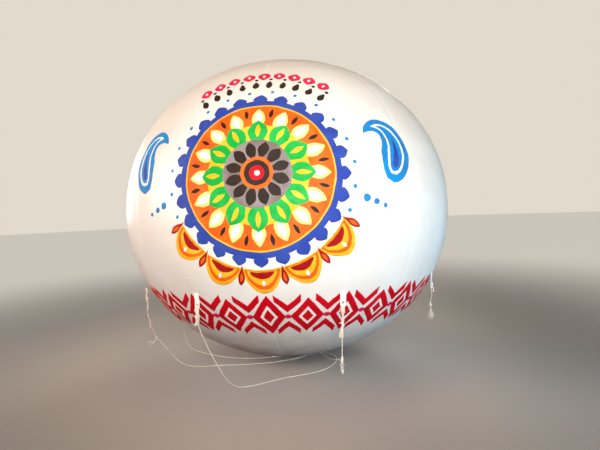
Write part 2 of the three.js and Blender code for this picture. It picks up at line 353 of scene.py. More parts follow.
@dataclass(frozen=True)
class PaintFinish(Finish):
    """Hand-brushed enamel of one colour that is thinner in places."""

    full: Row = (0.0, 0.0, 0.0, 1.0)
    thin: Row = (0.0, 0.0, 0.0, 1.0)
    cover: float = 0.5

    def shade(self, graph: Graph) -> dict:
        """Builds brush streaks and patches where the coat is thin.

        Args:
            graph: The material's node tree.

        Returns:
            The shader's inputs, by name.
        """
        place = graph.place()
        patches = graph.noise(place, 5.5, 3.0, 0.55).between(0.36, 0.68)
        streaks = graph.noise(graph.place((1.0, 1.0, 9.0)), 26.0, 4.0, 0.65).between(0.35, 0.7)
        worn = patches * (1.0 - self.cover) + streaks * 0.22
        colour = graph.mix(worn, self.full, self.thin)
        normal = graph.bump(streaks, 0.00035, graph.slack())
        rough = streaks * 0.14 + 0.5
        return {"Base Color": colour, "Roughness": rough, "Normal": normal, "Specular IOR Level": 0.16}


@dataclass(frozen=True)
class RopeFinish(Finish):
    """Laid cotton: cream, with fine fibres along the strands and grey where it was handled."""

    clean: Row = linear(253, 247, 236)
    used: Row = linear(238, 224, 200)

    def shade(self, graph: Graph) -> dict:
        """Builds fibres and soiled stretches.

        Args:
            graph: The material's node tree.

        Returns:
            The shader's inputs, by name.
        """
        place = graph.place()
        soiled = graph.noise(place, 9.0, 4.0, 0.65).between(0.4, 0.68)
        fibres = graph.noise(place, 850.0, 3.0, 0.7)
        colour = graph.mix(soiled * 0.55 + fibres * 0.2, self.clean, self.used)
        normal = graph.bump(fibres, 0.0006)
        return {"Base Color": colour, "Roughness": 0.86, "Normal": normal, "Sheen Weight": 0.25}


@dataclass(frozen=True)
class MetalFinish(Finish):
    """Plated or galvanised metal with dull and stained patches."""

    bright: Row = (0.6, 0.6, 0.6, 1.0)
    stained: Row = (0.3, 0.3, 0.3, 1.0)
    patches: float = 90.0
    polish: float = 0.28

    def shade(self, graph: Graph) -> dict:
        """Builds stains, fine scratches and a rougher skin where it is stained.

        Args:
            graph: The material's node tree.

        Returns:
            The shader's inputs, by name.
        """
        place = graph.place()
        stains = graph.noise(place, self.patches, 4.0, 0.7).between(0.44, 0.64)
        scratches = graph.noise(graph.place((1.0, 1.0, 12.0)), 700.0, 2.0)
        colour = graph.mix(stains * 0.8, self.bright, self.stained)
        normal = graph.bump(scratches, 0.00008, graph.bump(stains, 0.00015))
        rough = stains * 0.3 + self.polish
        return {"Base Color": colour, "Metallic": 1.0 - stains * 0.25, "Roughness": rough, "Normal": normal}


@dataclass(frozen=True)
class FloorFinish(Finish):
    """Plain pale studio floor, with a painted glow far from the balloon and painted shade in the light that
    it throws back.
    """

    tone: Row = linear(186, 181, 175)
    worn: Row = linear(178, 173, 167)
    # painted shade: the dark colour that the floor gives to bounced light, which darkens the balloon's
    # underside
    painted_shade_bounce: Row = linear(96, 76, 72)
    # painted light: the colour of the floor's glow far away, seen only by the camera
    painted_glow: Row = linear(196, 189, 178)

    def shade(self, graph: Graph) -> dict:
        """Builds a faintly mottled matt floor, a painted glow that only the camera sees and that grows away
        from the balloon, and a dark painted-shade colour for the light that the floor throws back.

        Args:
            graph: The material's node tree.

        Returns:
            The shader's inputs, by name.
        """
        place = graph.place()
        mottle = graph.noise(place, 0.9, 4.0).between(0.3, 0.7)
        away = graph.node("ShaderNodeVectorMath", {0: place}, operation="LENGTH")["Value"]
        # painted light: the glow is nothing near the balloon and full 11 m away, where the lamps fall off
        far = away.between(1.6, 11.0)
        seen = graph.node("ShaderNodeLightPath")["Is Camera Ray"]
        painted_glow = graph.mix(far * seen, (0.0, 0.0, 0.0, 1.0), self.painted_glow)
        colour = graph.mix(mottle * 0.25, self.tone, self.worn)
        # painted shade: rays that are not the camera's see the dark colour, so the balloon's underside gets a
        # dark bounce
        colour = graph.mix(seen, self.painted_shade_bounce, colour)
        return {"Base Color": colour, "Roughness": 0.75, "Emission Color": painted_glow, "Emission Strength": 1.0}


SKIN = SkinFinish("coated_skin")
WELD = WeldFinish("welded_tape")
WEBBING = WebbingFinish("strap_webbing")
ROPE = RopeFinish("cotton_rope")
THREAD = RopeFinish("white_thread", clean=linear(250, 247, 238), used=linear(226, 214, 190))
EYELET = MetalFinish("plated_eyelet", linear(214, 206, 186), linear(116, 98, 66))
GALVANISED = MetalFinish("galvanised_ring", linear(178, 181, 184), linear(120, 118, 114), 55.0, 0.36)
NECK_CLOTH = WebbingFinish("neck_cloth", 0.0011, linear(243, 240, 232), linear(214, 202, 180))
FLOOR = FloorFinish("pale_floor")


class Paint(Enum):
    """The sign painter's colours: each with the same colour where the coat is thin."""

    WHITE = PaintFinish("paint_white", linear(246, 245, 240), linear(238, 234, 224), 0.4)
    BLUE = PaintFinish("paint_blue", linear(41, 66, 160), linear(66, 92, 178), 0.55)
    SKY = PaintFinish("paint_sky", linear(12, 146, 214), linear(46, 118, 190), 0.3)
    ORANGE = PaintFinish("paint_orange", linear(252, 88, 18), linear(252, 122, 30), 0.4)
    GOLD = PaintFinish("paint_gold", linear(252, 178, 12), linear(255, 204, 66), 0.25)
    CREAM = PaintFinish("paint_cream", linear(254, 214, 120), linear(255, 230, 160), 0.4)
    GREEN = PaintFinish("paint_green", linear(6, 166, 58), linear(46, 190, 88), 0.35)
    GREY = PaintFinish("paint_grey", linear(152, 142, 142), linear(120, 104, 100), 0.2)
    DARK = PaintFinish("paint_dark", linear(42, 32, 26), linear(60, 47, 36), 0.6)
    RED = PaintFinish("paint_red", linear(206, 0, 24), linear(220, 12, 34), 0.5)
    MAROON = PaintFinish("paint_maroon", linear(158, 14, 20), linear(180, 30, 26), 0.5)
    CRIMSON = PaintFinish("paint_crimson", linear(226, 12, 70), linear(236, 44, 96), 0.5)


@dataclass
class MeshData:
    """Points, faces and, where the pattern follows the surface, a map of each point."""

    points: np.ndarray
    faces: list[tuple[int, ...]]
    map: np.ndarray | None = None
    slots: list[int] | None = None
    walls: int = 0


def full_turn(steps: int) -> np.ndarray:
    """Angles in radians that go round once, evenly."""
    return np.linspace(0, 2 * np.pi, steps + 1)[:-1]


def stacked(*axes: np.ndarray | float) -> np.ndarray:
    """Points from their coordinates, which may be grids, rows or single numbers."""
    return np.stack(np.broadcast_arrays(*axes), axis=-1)


def eased(share: np.ndarray) -> np.ndarray:
    """A share of 0 to 1, given a soft start and end."""
    return share * share * (3 - 2 * share)


def linked(name: str, data: bpy.types.ID) -> bpy.types.Object:
    """Adds an object to the scene.

    Args:
        name: Its name.
        data: Its mesh, light or camera.

    Returns:
        The object.
    """
    made = bpy.data.objects.new(name, data)
    bpy.context.scene.collection.objects.link(made)
    return made


def add_object(
    name: str, data: MeshData, finishes: Sequence[Finish], smooth: bool = True
) -> bpy.types.Object:
    """Makes a mesh object at the origin, with its place in its mesh.

    Args:
        name: The piece's name.
        data: Its points and faces.
        finishes: Its finishes, in the order of the faces' slots.
        smooth: Whether its faces are shaded as one curved surface.

    Returns:
        The new object.
    """
    mesh = bpy.data.meshes.new(name)
    mesh.from_pydata(data.points.tolist(), [], data.faces)
    for finish in finishes:
        mesh.materials.append(finish.material())
    if data.slots is not None:
        mesh.polygons.foreach_set("material_index", data.slots)
    curved = len(data.faces) - data.walls
    mesh.polygons.foreach_set("use_smooth", [smooth] * curved + [False] * data.walls)
    if data.map is not None:
        corners = np.empty(len(mesh.loops), int)
        mesh.loops.foreach_get("vertex_index", corners)
        mesh.uv_layers.new(name="UVMap").data.foreach_set("uv", data.map[corners].ravel())
    mesh.validate()
    mesh.update()
    return linked(name, mesh)


def seat(piece: bpy.types.Object, body: str, slot: str, *nodes: str) -> None:
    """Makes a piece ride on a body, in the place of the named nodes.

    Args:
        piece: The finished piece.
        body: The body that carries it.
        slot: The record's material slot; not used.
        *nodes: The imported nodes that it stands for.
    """
    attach(piece, body)
    if nodes:
        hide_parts(*nodes)
    LOG.info("%s rides on %s", piece.name, body)


def quads(grid: np.ndarray) -> list[tuple[int, ...]]:
    """The faces between the neighbours in a grid of the points' numbers.

    Args:
        grid: The numbers, as rows by columns.

    Returns:
        A face for each square of the grid.
    """
    corners = (grid[:-1, :-1], grid[:-1, 1:], grid[1:, 1:], grid[1:, :-1])
    return [tuple(face) for face in np.stack(corners, axis=-1).reshape(-1, 4).tolist()]


def closed_sheet(top: np.ndarray, under: np.ndarray) -> MeshData:
    """A grid of points given a wall: its top, its underside and the rim between them.

    Args:
        top: The outer side's points, as rows by columns by 3.
        under: The inner side's points, in the same order.

    Returns:
        One closed mesh.
    """
    count = top.shape[0] * top.shape[1]
    grid = np.arange(count).reshape(top.shape[:2])
    rim = np.concatenate([grid[0], grid[1:, -1], grid[-1, -2::-1], grid[-2::-1, 0]])
    faces = quads(grid) + quads(grid[:, ::-1] + count) + quads(np.array([rim, rim + count])[:, ::-1])
    return MeshData(np.vstack([top.reshape(-1, 3), under.reshape(-1, 3)]), faces)


def ring_body(rings: np.ndarray, looped: bool = True, flip: bool = False) -> MeshData:
    """A closed body through rings of points.

    Args:
        rings: Its points, as rings by points by 3.
        looped: Whether the first ring follows the last; if not, both ends are filled.
        flip: Turns all the faces the other way.

    Returns:
        One closed mesh.
    """
    count, around = rings.shape[:2]
    grid = np.arange(count * around).reshape(count, around)
    ends = [tuple(grid[0].tolist()), tuple(grid[-1, ::-1].tolist())]
    grid = np.pad(grid, ((0, int(looped)), (0, 1)), "wrap")
    faces = quads(grid[:, ::-1]) + ([] if looped else ends)
    return MeshData(rings.reshape(-1, 3), [face[::-1] for face in faces] if flip else faces)


class Pole(Enum):
    """An end of the envelope, by the sign of its steepness."""

    CROWN = 1
    BASE = -1


@dataclass
class EnvelopeShape:
    """The inflated skin as a formula: a squashed sphere with seams, slack and tugs at the tabs.

    A dent is given as its azimuth, its steepness, its depth, and its reach sideways and up.
    """

    fullness: float = 2.05
    inside_facets: float = 0.0018
    seam_dip: float = 0.0035
    seam_reach: float = 0.035
    tab_tug: float = 0.0032
    tab_reach: float = 0.16
    tab_steepness: float = -24.0
    swell: float = 0.0022
    pucker: float = 0.0045
    puckers_per_gore: int = 3
    pucker_start: float = 1.05
    pucker_run: float = 0.5
    pucker_fade_radius: float = 0.3
    dents: tuple[Row, ...] = (
        (55.5, -21.0, 0.016, 0.045, 0.10), (-35.0, -19.0, 0.006, 0.05, 0.12),
        (12.0, -20.0, 0.005, 0.05, 0.10),
    )
    equator: float = field(init=False)
    crown: float = field(init=False)
    base: float = field(init=False)

    def __post_init__(self) -> None:
        """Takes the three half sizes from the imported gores."""
        low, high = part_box("gore_1")
        self.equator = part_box("gore_2")[1].x
        self.crown = high.z
        self.base = -low.z

    def steepness_at(self, height: float) -> float:
        """The steepness, in degrees, where the profile is at that height."""
        full = self.crown if height > 0 else self.base
        return math.copysign(math.degrees(math.asin((abs(height) / full) ** (self.fullness / 2))), height)

    def slope_at(self, radius: float | np.ndarray) -> float | np.ndarray:
        """The steepness, in radians, where the profile's upper half has that radius."""
        return np.arccos((radius / self.equator) ** (self.fullness / 2))

    def profile(self, steepness: np.ndarray) -> tuple[np.ndarray, np.ndarray]:
        """The bare profile's radius and height at a steepness in radians.

        Args:
            steepness: Steepnesses in radians.

        Returns:
            The radii and the heights.
        """
        power = 2 / self.fullness
        sine = np.sin(steepness)
        full = np.where(sine > 0, self.crown, self.base)
        radius = self.equator * np.clip(np.cos(steepness), 0, 1) ** power
        return radius, np.sign(sine) * full * np.abs(sine) ** power

    def relief(self, azimuth: np.ndarray, steepness: np.ndarray, radius: np.ndarray) -> np.ndarray:
        """How far the skin lies outside the bare profile: negative where it is drawn in.

        Args:
            azimuth: Azimuths in radians.
            steepness: Steepnesses in radians.
            radius: The bare profile's radii there.

        Returns:
            Distances outwards.
        """
        gore = 2 * np.pi / GORES
        from_seam = (azimuth + gore / 2) % gore - gore / 2
        from_station = azimuth % gore - gore / 2
        seam = -self.seam_dip * np.exp(-((radius * from_seam / self.seam_reach) ** 2))
        across = radius * from_station
        along = self.equator * (steepness - math.radians(self.tab_steepness))
        tug = -self.tab_tug * np.exp(-(across**2 + along**2) / self.tab_reach**2)
        swell = np.sin(3 * azimuth + 1.3 * np.sin(2 * steepness)) * np.cos(4 * steepness + 0.7)
        swell = self.swell * (swell + 0.6 * np.sin(5 * azimuth - 3 * steepness + 1.1))
        near_pole = np.clip((np.abs(steepness) - self.pucker_start) / self.pucker_run, 0, 1)
        ripple = np.cos(self.puckers_per_gore * GORES * azimuth + 2 * np.sin(2 * azimuth))
        pucker = self.pucker * ripple * near_pole**2 * np.clip(radius / self.pucker_fade_radius, 0, 1)
        dents = np.zeros_like(azimuth)
        for place, slope, depth, sideways, upwards in self.dents:
            turn = (azimuth - math.radians(place) + np.pi) % (2 * np.pi) - np.pi
            rise = self.equator * (steepness - math.radians(slope))
            dents = dents - depth * np.exp(-((radius * turn / sideways) ** 2) - (rise / upwards) ** 2)
        return seam + tug + swell + pucker + dents - self.inside_facets

    def point(self, azimuth: np.ndarray, steepness: np.ndarray, lift: float | np.ndarray = 0.0) -> np.ndarray:
        """Points on the skin, or above it.

        Args:
            azimuth: Azimuths in radians.
            steepness: Steepnesses in radians.
            lift: How far outside the skin the points are.

        Returns:
            The points, with their coordinates on the last axis.
        """
        radius, height = self.profile(steepness)
        full = np.where(height > 0, self.crown, self.base)
        out = radius ** (self.fullness - 1) / self.equator**self.fullness
        up = np.sign(height) * np.abs(height) ** (self.fullness - 1) / full**self.fullness
        long = np.hypot(out, up)
        above = self.relief(azimuth, steepness, radius) + lift
        reach = radius + above * out / long
        level = height + above * up / long
        return stacked(reach * np.sin(azimuth), -reach * np.cos(azimuth), level)


@dataclass
class Envelope:
    """The eight gores, the tapes over their seams and the round patches over their tips.

    A gore's columns are shares of its half width, close together at the seams.
    """

    shape: EnvelopeShape
    wall: float = 0.003
    gap: float = 0.00015
    tip_radius: float = 0.02
    rows: int = 150
    columns: Row = (
        0.0, 0.09, 0.18, 0.27, 0.36, 0.45, 0.54, 0.62, 0.7, 0.77, 0.83, 0.88, 0.92, 0.95, 0.975, 0.99, 1.0,
    )
    half: float = math.pi / GORES
    tape_width: float = 0.024
    tape_thickness: float = 0.0006
    tape_sunk: float = 0.001
    tape_end_radius: float = 0.06
    tape_rows: int = 220
    tape_across: Row = (-0.5, -0.44, -0.2, 0.0, 0.2, 0.44, 0.5)
    tape_profile: Row = (0.00005, 1.0, 1.0, 1.0, 1.0, 1.0, 0.00005)
    patch_radii: Row = (0.004, 0.03, 0.06, 0.09, 0.12, 0.145, 0.16, 0.17, 0.177, 0.18)
    patch_profile: Row = (1.0, 1.0, 1.0, 1.0, 1.0, 1.0, 1.0, 1.0, 0.75, 0.05)
    patch_thickness: float = 0.0016
    patch_sunk: float = 0.0012
    patch_around: int = 96

    def gore(self, number: int) -> None:
        """Makes one gore as a thin shell.

        Args:
            number: The gore's number, from 1.
        """
        gap = self.gap / self.shape.equator
        shares = [-share for share in self.columns[:0:-1]] + list(self.columns)
        azimuth = (number - 0.5) * 2 * self.half + np.array(shares) * (self.half - gap)
        end = self.shape.slope_at(self.tip_radius)
        rows = np.linspace(-end, end, self.rows)[:, None]
        data = closed_sheet(self.shape.point(azimuth, rows), self.shape.point(azimuth, rows, -self.wall))
        seat(add_object(f"gore_skin_{number}", data, [SKIN]), ENVELOPE_BODY, "skin", f"gore_{number}")

    def tape(self, number: int) -> None:
        """Makes the welded tape over one seam.

        Args:
            number: The seam's number, from 1.
        """
        end = self.shape.slope_at(self.tape_end_radius)
        rows = np.linspace(-end, end, self.tape_rows)[:, None]
        across = np.array(self.tape_across) * self.tape_width
        azimuth = (number - 1) * 2 * self.half + across / self.shape.profile(rows)[0]
        top = self.shape.point(azimuth, rows, np.array(self.tape_profile) * self.tape_thickness)
        data = closed_sheet(top, self.shape.point(azimuth, rows, -self.tape_sunk))
        data.map = np.tile(stacked(across, rows * self.shape.equator).reshape(-1, 2), (2, 1))
        seat(add_object(f"seam_tape_{number}", data, [WELD]), ENVELOPE_BODY, "tape")

    def pole_patch(self, pole: Pole) -> None:
        """Makes a round patch over the gore tips.

        Args:
            pole: The end that it covers.
        """
        name = f"{pole.name.lower()}_patch"
        steepness = pole.value * self.shape.slope_at(np.array(self.patch_radii))[:, None]
        lifts = (np.array(self.patch_profile) * self.patch_thickness)[:, None]
        around = full_turn(self.patch_around)
        top = self.shape.point(around, steepness, lifts)
        under = self.shape.point(around, steepness, -self.patch_sunk)
        data = ring_body(np.concatenate([top, under[::-1]]), looped=False, flip=pole is Pole.BASE)
        data.map = data.points[:, :2].copy()
        seat(add_object(f"{name}_skin", data, [WELD]), ENVELOPE_BODY, "tape", name)

    def build(self) -> None:
        """Makes every piece of the envelope."""
        for number in range(1, GORES + 1):
            self.gore(number)
            self.tape(number)
        for pole in Pole:
            self.pole_patch(pole)


class Pattern:
    """A Geometry Nodes tree with named inputs, whose result is turned into a plain mesh."""

    def __init__(self, name: str, inputs: dict[str, str]) -> None:
        """Starts the tree.

        Args:
            name: The tree's name.
            inputs: Its inputs' labels, each with its kind of socket.
        """
        self.tree = bpy.data.node_groups.new(name, "GeometryNodeTree")
        labels = {"Geometry": "NodeSocketGeometry", **inputs, "Material": "NodeSocketMaterial"}
        for label, kind in labels.items():
            self.tree.interface.new_socket(label, in_out="INPUT", socket_type=kind)
        self.tree.interface.new_socket("Geometry", in_out="OUTPUT", socket_type="NodeSocketGeometry")
        self.graph = Graph(self.tree)
        self.given = self.graph.node("NodeGroupInput")

    def geo(self, kind: str, inputs: dict | None = None, **settings: object) -> Signal:
        """Adds a geometry node and takes its first output."""
        return self.graph.node("GeometryNode" + kind, inputs, **settings)[0]

    def vector(self, operation: str, first: Signal | Row, second: Signal | Row | float) -> Signal:
        """Adds a Vector Math node; the second value of a scaling is a number."""
        values = {0: first, 3 if operation == "SCALE" else 1: second}
        return self.graph.node("ShaderNodeVectorMath", values, operation=operation)["Vector"]

    def chance(self, shift: int, low: float, high: float) -> Signal:
        """A random number for each point, drawn apart from those of another shift."""
        values = {2: low, 3: high, 8: self.given["Seed"] + shift}
        return self.graph.node("FunctionNodeRandomValue", values, data_type="FLOAT")[1]

    def swept(self, curve: Signal, radius: Signal, sides: int) -> Signal:
        """Sweeps a circle of that many points along curves, with closed ends."""
        circle = self.geo("CurvePrimitiveCircle", {"Resolution": sides, "Radius": radius})
        return self.geo("CurveToMesh", {"Curve": curve, "Profile Curve": circle, "Fill Caps": True})

    def end(self, parts: list[Signal]) -> None:
        """Joins the parts, makes them real and gives them their finish.

        Args:
            parts: The geometry to join.
        """
        real = self.geo("RealizeInstances", {"Geometry": self.geo("JoinGeometry", {"Geometry": parts})})
        smooth = self.geo("SetShadeSmooth", {"Geometry": real})
        finished = self.geo("SetMaterial", {"Geometry": smooth, "Material": self.given["Material"]})
        self.graph.node("NodeGroupOutput", {"Geometry": finished})

    def made(
        self, name: str, lines: list[np.ndarray], finish: Finish, values: dict[str, float]
    ) -> bpy.types.Object:
        """Runs the tree on open lines of points.

        Args:
            name: The new piece's name.
            lines: The lines, each as points by 3.
            finish: The piece's finish.
            values: The tree's inputs, by label.

        Returns:
            A mesh object with no modifier.
        """
        mesh = bpy.data.meshes.new(name + "_line")
        edges = []
        start = 0
        for line in lines:
            edges += [(start + step, start + step + 1) for step in range(len(line) - 1)]
            start += len(line)
        mesh.from_pydata(np.vstack(lines).tolist(), edges, [])
        carrier = linked(name + "_line", mesh)
        modifier = carrier.modifiers.new(self.tree.name, "NODES")
        modifier.node_group = self.tree
        settings = {**values, "Material": finish.material()}
        for item in self.tree.interface.items_tree:
            if item.in_out == "INPUT" and item.name in settings:
                modifier[item.identifier] = settings[item.name]
        evaluated = carrier.evaluated_get(bpy.context.evaluated_depsgraph_get())
        result = bpy.data.meshes.new_from_object(evaluated)
        bpy.data.objects.remove(carrier)
        result.name = name
        return linked(name, result)


def laid_rope_pattern() -> Pattern:
    """Builds the tree that lays three strands round a line.

    Returns:
        The finished tree.
    """
    labels = ("Strand Radius", "Lay Radius", "Lay Length", "Step")
    pattern = Pattern("laid_rope", dict.fromkeys(labels, "NodeSocketFloat"))
    graph, given = pattern.graph, pattern.given
    line = pattern.geo("MeshToCurve", {"Mesh": given["Geometry"]})
    line = pattern.geo("ResampleCurve", {"Curve": line, "Length": given["Step"]}, mode="LENGTH")
    along = graph.node("GeometryNodeSplineParameter")["Length"] / given["Lay Length"] * (2 * math.pi)
    normal = pattern.geo("InputNormal")
    side = pattern.vector("CROSS_PRODUCT", pattern.geo("InputTangent"), normal)
    strands = []
    for strand in range(3):
        angle = along + strand * 2 * math.pi / 3
        out = pattern.vector("SCALE", normal, graph.math("COSINE", angle) * given["Lay Radius"])
        over = pattern.vector("SCALE", side, graph.math("SINE", angle) * given["Lay Radius"])
        moved = pattern.geo("SetPosition", {"Geometry": line, "Offset": pattern.vector("ADD", out, over)})
        strands.append(pattern.swept(moved, given["Strand Radius"], 7))
    pattern.end(strands)
    return pattern


def stitch_pattern() -> Pattern:
    """Builds the tree that sets short stitches along lines.

    Returns:
        The finished tree.
    """
    labels = ("Spacing", "Stitch Length", "Thread Radius")
    pattern = Pattern("stitches", dict.fromkeys(labels, "NodeSocketFloat"))
    graph, given = pattern.graph, pattern.given
    line = pattern.geo("MeshToCurve", {"Mesh": given["Geometry"]})
    values = {"Curve": line, "Length": given["Spacing"]}
    dots = graph.node("GeometryNodeCurveToPoints", values, mode="LENGTH")
    along = graph.node("FunctionNodeAlignRotationToVector", {"Vector": dots["Tangent"]}, axis="Z")
    sizes = {"Vertices": 6, "Radius": given["Thread Radius"], "Depth": given["Stitch Length"]}
    thread = pattern.geo("MeshCylinder", sizes)
    values = {"Points": dots["Points"], "Instance": thread, "Rotation": along["Rotation"]}
    pattern.end([pattern.geo("InstanceOnPoints", values)])
    return pattern


def fray_pattern() -> Pattern:
    """Builds the tree that makes loose yarns round the origin, hanging along +Z; it doesn't read its input
    lines.

    Returns:
        The finished tree.
    """
    inputs = {
        "Count": "NodeSocketInt", "Length": "NodeSocketFloat", "Spread": "NodeSocketFloat",
        "Core": "NodeSocketFloat", "Yarn Radius": "NodeSocketFloat", "Seed": "NodeSocketInt",
    }
    pattern = Pattern("frayed_end", inputs)
    graph, given = pattern.graph, pattern.given
    turn = pattern.chance(1, 0.0, 2 * math.pi)
    far = graph.math("SQRT", pattern.chance(2, 0.0, 1.0)) * given["Core"]
    place = graph.point(graph.math("COSINE", turn) * far, graph.math("SINE", turn) * far, 0.0)
    dots = pattern.geo("Points", {"Count": given["Count"], "Position": place})
    reach = given["Length"]
    middle = graph.point(reach * 0.02, 0.0, reach * 0.5)
    end = graph.point(given["Spread"], 0.0, reach)
    values = {"Resolution": 7, "Start": (0.0, 0.0, 0.0), "Middle": middle, "End": end}
    yarn = pattern.geo("CurveQuadraticBezier", values)
    tips = pattern.chance(4, -0.12, 0.12), pattern.chance(5, -0.12, 0.12)
    spin = graph.point(*tips, turn + pattern.chance(6, -0.5, 0.5))
    wide = pattern.chance(7, 0.1, 1.0)
    size = graph.point(wide, wide, pattern.chance(8, 0.72, 1.0))
    values = {"Points": dots, "Instance": yarn, "Rotation": spin, "Scale": size}
    real = pattern.geo("RealizeInstances", {"Geometry": pattern.geo("InstanceOnPoints", values)})
    pattern.end([pattern.swept(real, given["Yarn Radius"], 4)])
    return pattern


def smooth_path(points: Sequence[Row], step: float) -> np.ndarray:
    """A smooth line through given points, by centripetal Catmull-Rom.

    Args:
        points: The points that it passes.
        step: The distance between the points of the result.

    Returns:
        Evenly spaced points on the line.
    """
    given = np.array(points, float)
    given = np.vstack([2 * given[0] - given[1], given, 2 * given[-1] - given[-2]])
    line = [given[1]]
    for first in range(len(given) - 3):
        p = given[first:first + 4]
        t = np.concatenate([[0.0], np.cumsum(np.sqrt(np.linalg.norm(np.diff(p, axis=0), axis=1)))])
        for at in np.linspace(t[1], t[2], 25)[1:]:
            a = [(p[k] * (t[k + 1] - at) + p[k + 1] * (at - t[k])) / (t[k + 1] - t[k]) for k in range(3)]
            b = [(a[k] * (t[k + 2] - at) + a[k + 1] * (at - t[k])) / (t[k + 2] - t[k]) for k in range(2)]
            line.append((b[0] * (t[2] - at) + b[1] * (at - t[1])) / (t[2] - t[1]))
    dense = np.array(line)
    along = np.concatenate([[0.0], np.cumsum(np.linalg.norm(np.diff(dense, axis=0), axis=1))])
    stops = np.linspace(0, along[-1], max(2, int(round(along[-1] / step)) + 1))
    return np.stack([np.interp(stops, along, dense[:, axis]) for axis in range(3)], axis=-1)


@dataclass(frozen=True)
class Spot:
    """A point with an azimuth, from which small things are placed."""

    origin: Row
    azimuth: float

    def place(self, points: Sequence[Row]) -> np.ndarray:
        """Turns points given as outwards, sideways and down from the spot into the frame's own.

        Args:
            points: The points, with three coordinates on the last axis.

        Returns:
            The same points in the frame.
        """
        outwards, sideways, down = np.moveaxis(np.asarray(points, float), -1, 0)
        sine, cosine = math.sin(self.azimuth), math.cos(self.azimuth)
        across = self.origin[0] + outwards * sine + sideways * cosine
        along = self.origin[1] - outwards * cosine + sideways * sine
        return stacked(across, along, self.origin[2] - down)

    def run(self, points: Sequence[Row], step: float = 2.5) -> np.ndarray:
        """A smooth line through points in millimetres outwards, sideways and down from the spot."""
        return self.place(smooth_path(points, step) / 1000)


@dataclass(frozen=True)
class Station:
    """The middle of a gore, with the fold that its load tab hangs from."""

    number: int
    fold: Vector

    @property
    def azimuth(self) -> float:
        """Its azimuth in radians."""
        return math.atan2(self.fold.x, -self.fold.y)

    @property
    def body(self) -> str:
        """The body of its tab."""
        return f"tab_{self.number}"

    @property
    def spot(self) -> Spot:
        """The fold as a spot to place things from."""
        return self.at(self.fold)

    def at(self, origin: Row) -> Spot:
        """Another point at this station as a spot."""
        return Spot(origin, self.azimuth)


def stations(joints: list[dict]) -> list[Station]:
    """The eight stations, read from the folds' joints."""
    return [Station(int(joint["child"].split("_")[1]), Vector(joint["pos_m"])) for joint in joints]


def triangulated(
    outlines: list[np.ndarray], margin: float, pitch: float, close: float
) -> tuple[np.ndarray, list, list]:
    """Triangulates flat outlines, with extra points inside so that the result can bend.

    Args:
        outlines: The outlines, each as points by 2.
        margin: How far inside their box the extra points start.
        pitch: The distance between the extra points.
        close: Points closer than this become one.

    Returns:
        The flat points, the triangles, and for each of them the outlines that it lies in.
    """
    points: list[Vector] = []
    loops = []
    for outline in outlines:
        loops.append(list(range(len(points), len(points) + len(outline))))
        points += [Vector(point) for point in outline]
    low, high = np.vstack(outlines).min(0) + margin, np.vstack(outlines).max(0)
    columns, rows = (np.arange(low[axis], high[axis], pitch) for axis in (0, 1))
    points += [Vector((x, y)) for y in rows for x in columns]
    flat, _, faces, _, _, origins = delaunay_2d_cdt(points, [], loops, 0, close, True)
    return np.array([tuple(point) for point in flat]), faces, origins


def filled_outline(outline: np.ndarray, holes: list[np.ndarray], pitch: float) -> tuple[np.ndarray, list]:
    """The flat points and the triangles, counter-clockwise, that fill an outline but for its holes."""
    flat, faces, origins = triangulated([outline, *holes], pitch / 2, pitch, 1e-7)
    return flat, [face for face, origin in zip(faces, origins) if list(origin) == [0]]


def closed_film(
    flat: np.ndarray, faces: list, over: Callable, under: Callable, slots: list[int] | None = None
) -> MeshData:
    """Gives a flat triangulation a top, an underside and walls along its edges.

    Args:
        flat: Flat points.
        faces: Triangles, counter-clockwise seen from outside.
        over: Turns the flat points into the outer side's points.
        under: Turns them into the inner side's points.
        slots: The finish of each triangle, by its place in the list of finishes.

    Returns:
        One closed mesh, mapped by the flat points.
    """
    used = sorted({index for face in faces for index in face})
    renumbered = {old: new for new, old in enumerate(used)}
    count = len(used)
    flat = flat[used]
    top = [tuple(renumbered[index] for index in face) for face in faces]
    owners = {edge: row for row, face in enumerate(top) for edge in zip(face, face[1:] + face[:1])}
    rim = [edge for edge in sorted(owners) if edge[::-1] not in owners]
    bottom = [tuple(index + count for index in face[::-1]) for face in top]
    walls = [(b, a, a + count, b + count) for a, b in rim]
    points = np.vstack([over(flat), under(flat)])
    data = MeshData(points, top + bottom + walls, np.vstack([flat, flat]), walls=len(walls))
    if slots is not None:
        data.slots = slots + slots + [slots[owners[edge]] for edge in rim]
    return data


def arc(centre: Row, radius: float, start: float, end: float, steps: int) -> list[tuple[float, float]]:
    """Points on a flat arc, with its angles in degrees."""
    turns = np.radians(np.linspace(start, end, steps))
    return [(centre[0] + radius * math.cos(turn), centre[1] + radius * math.sin(turn)) for turn in turns]


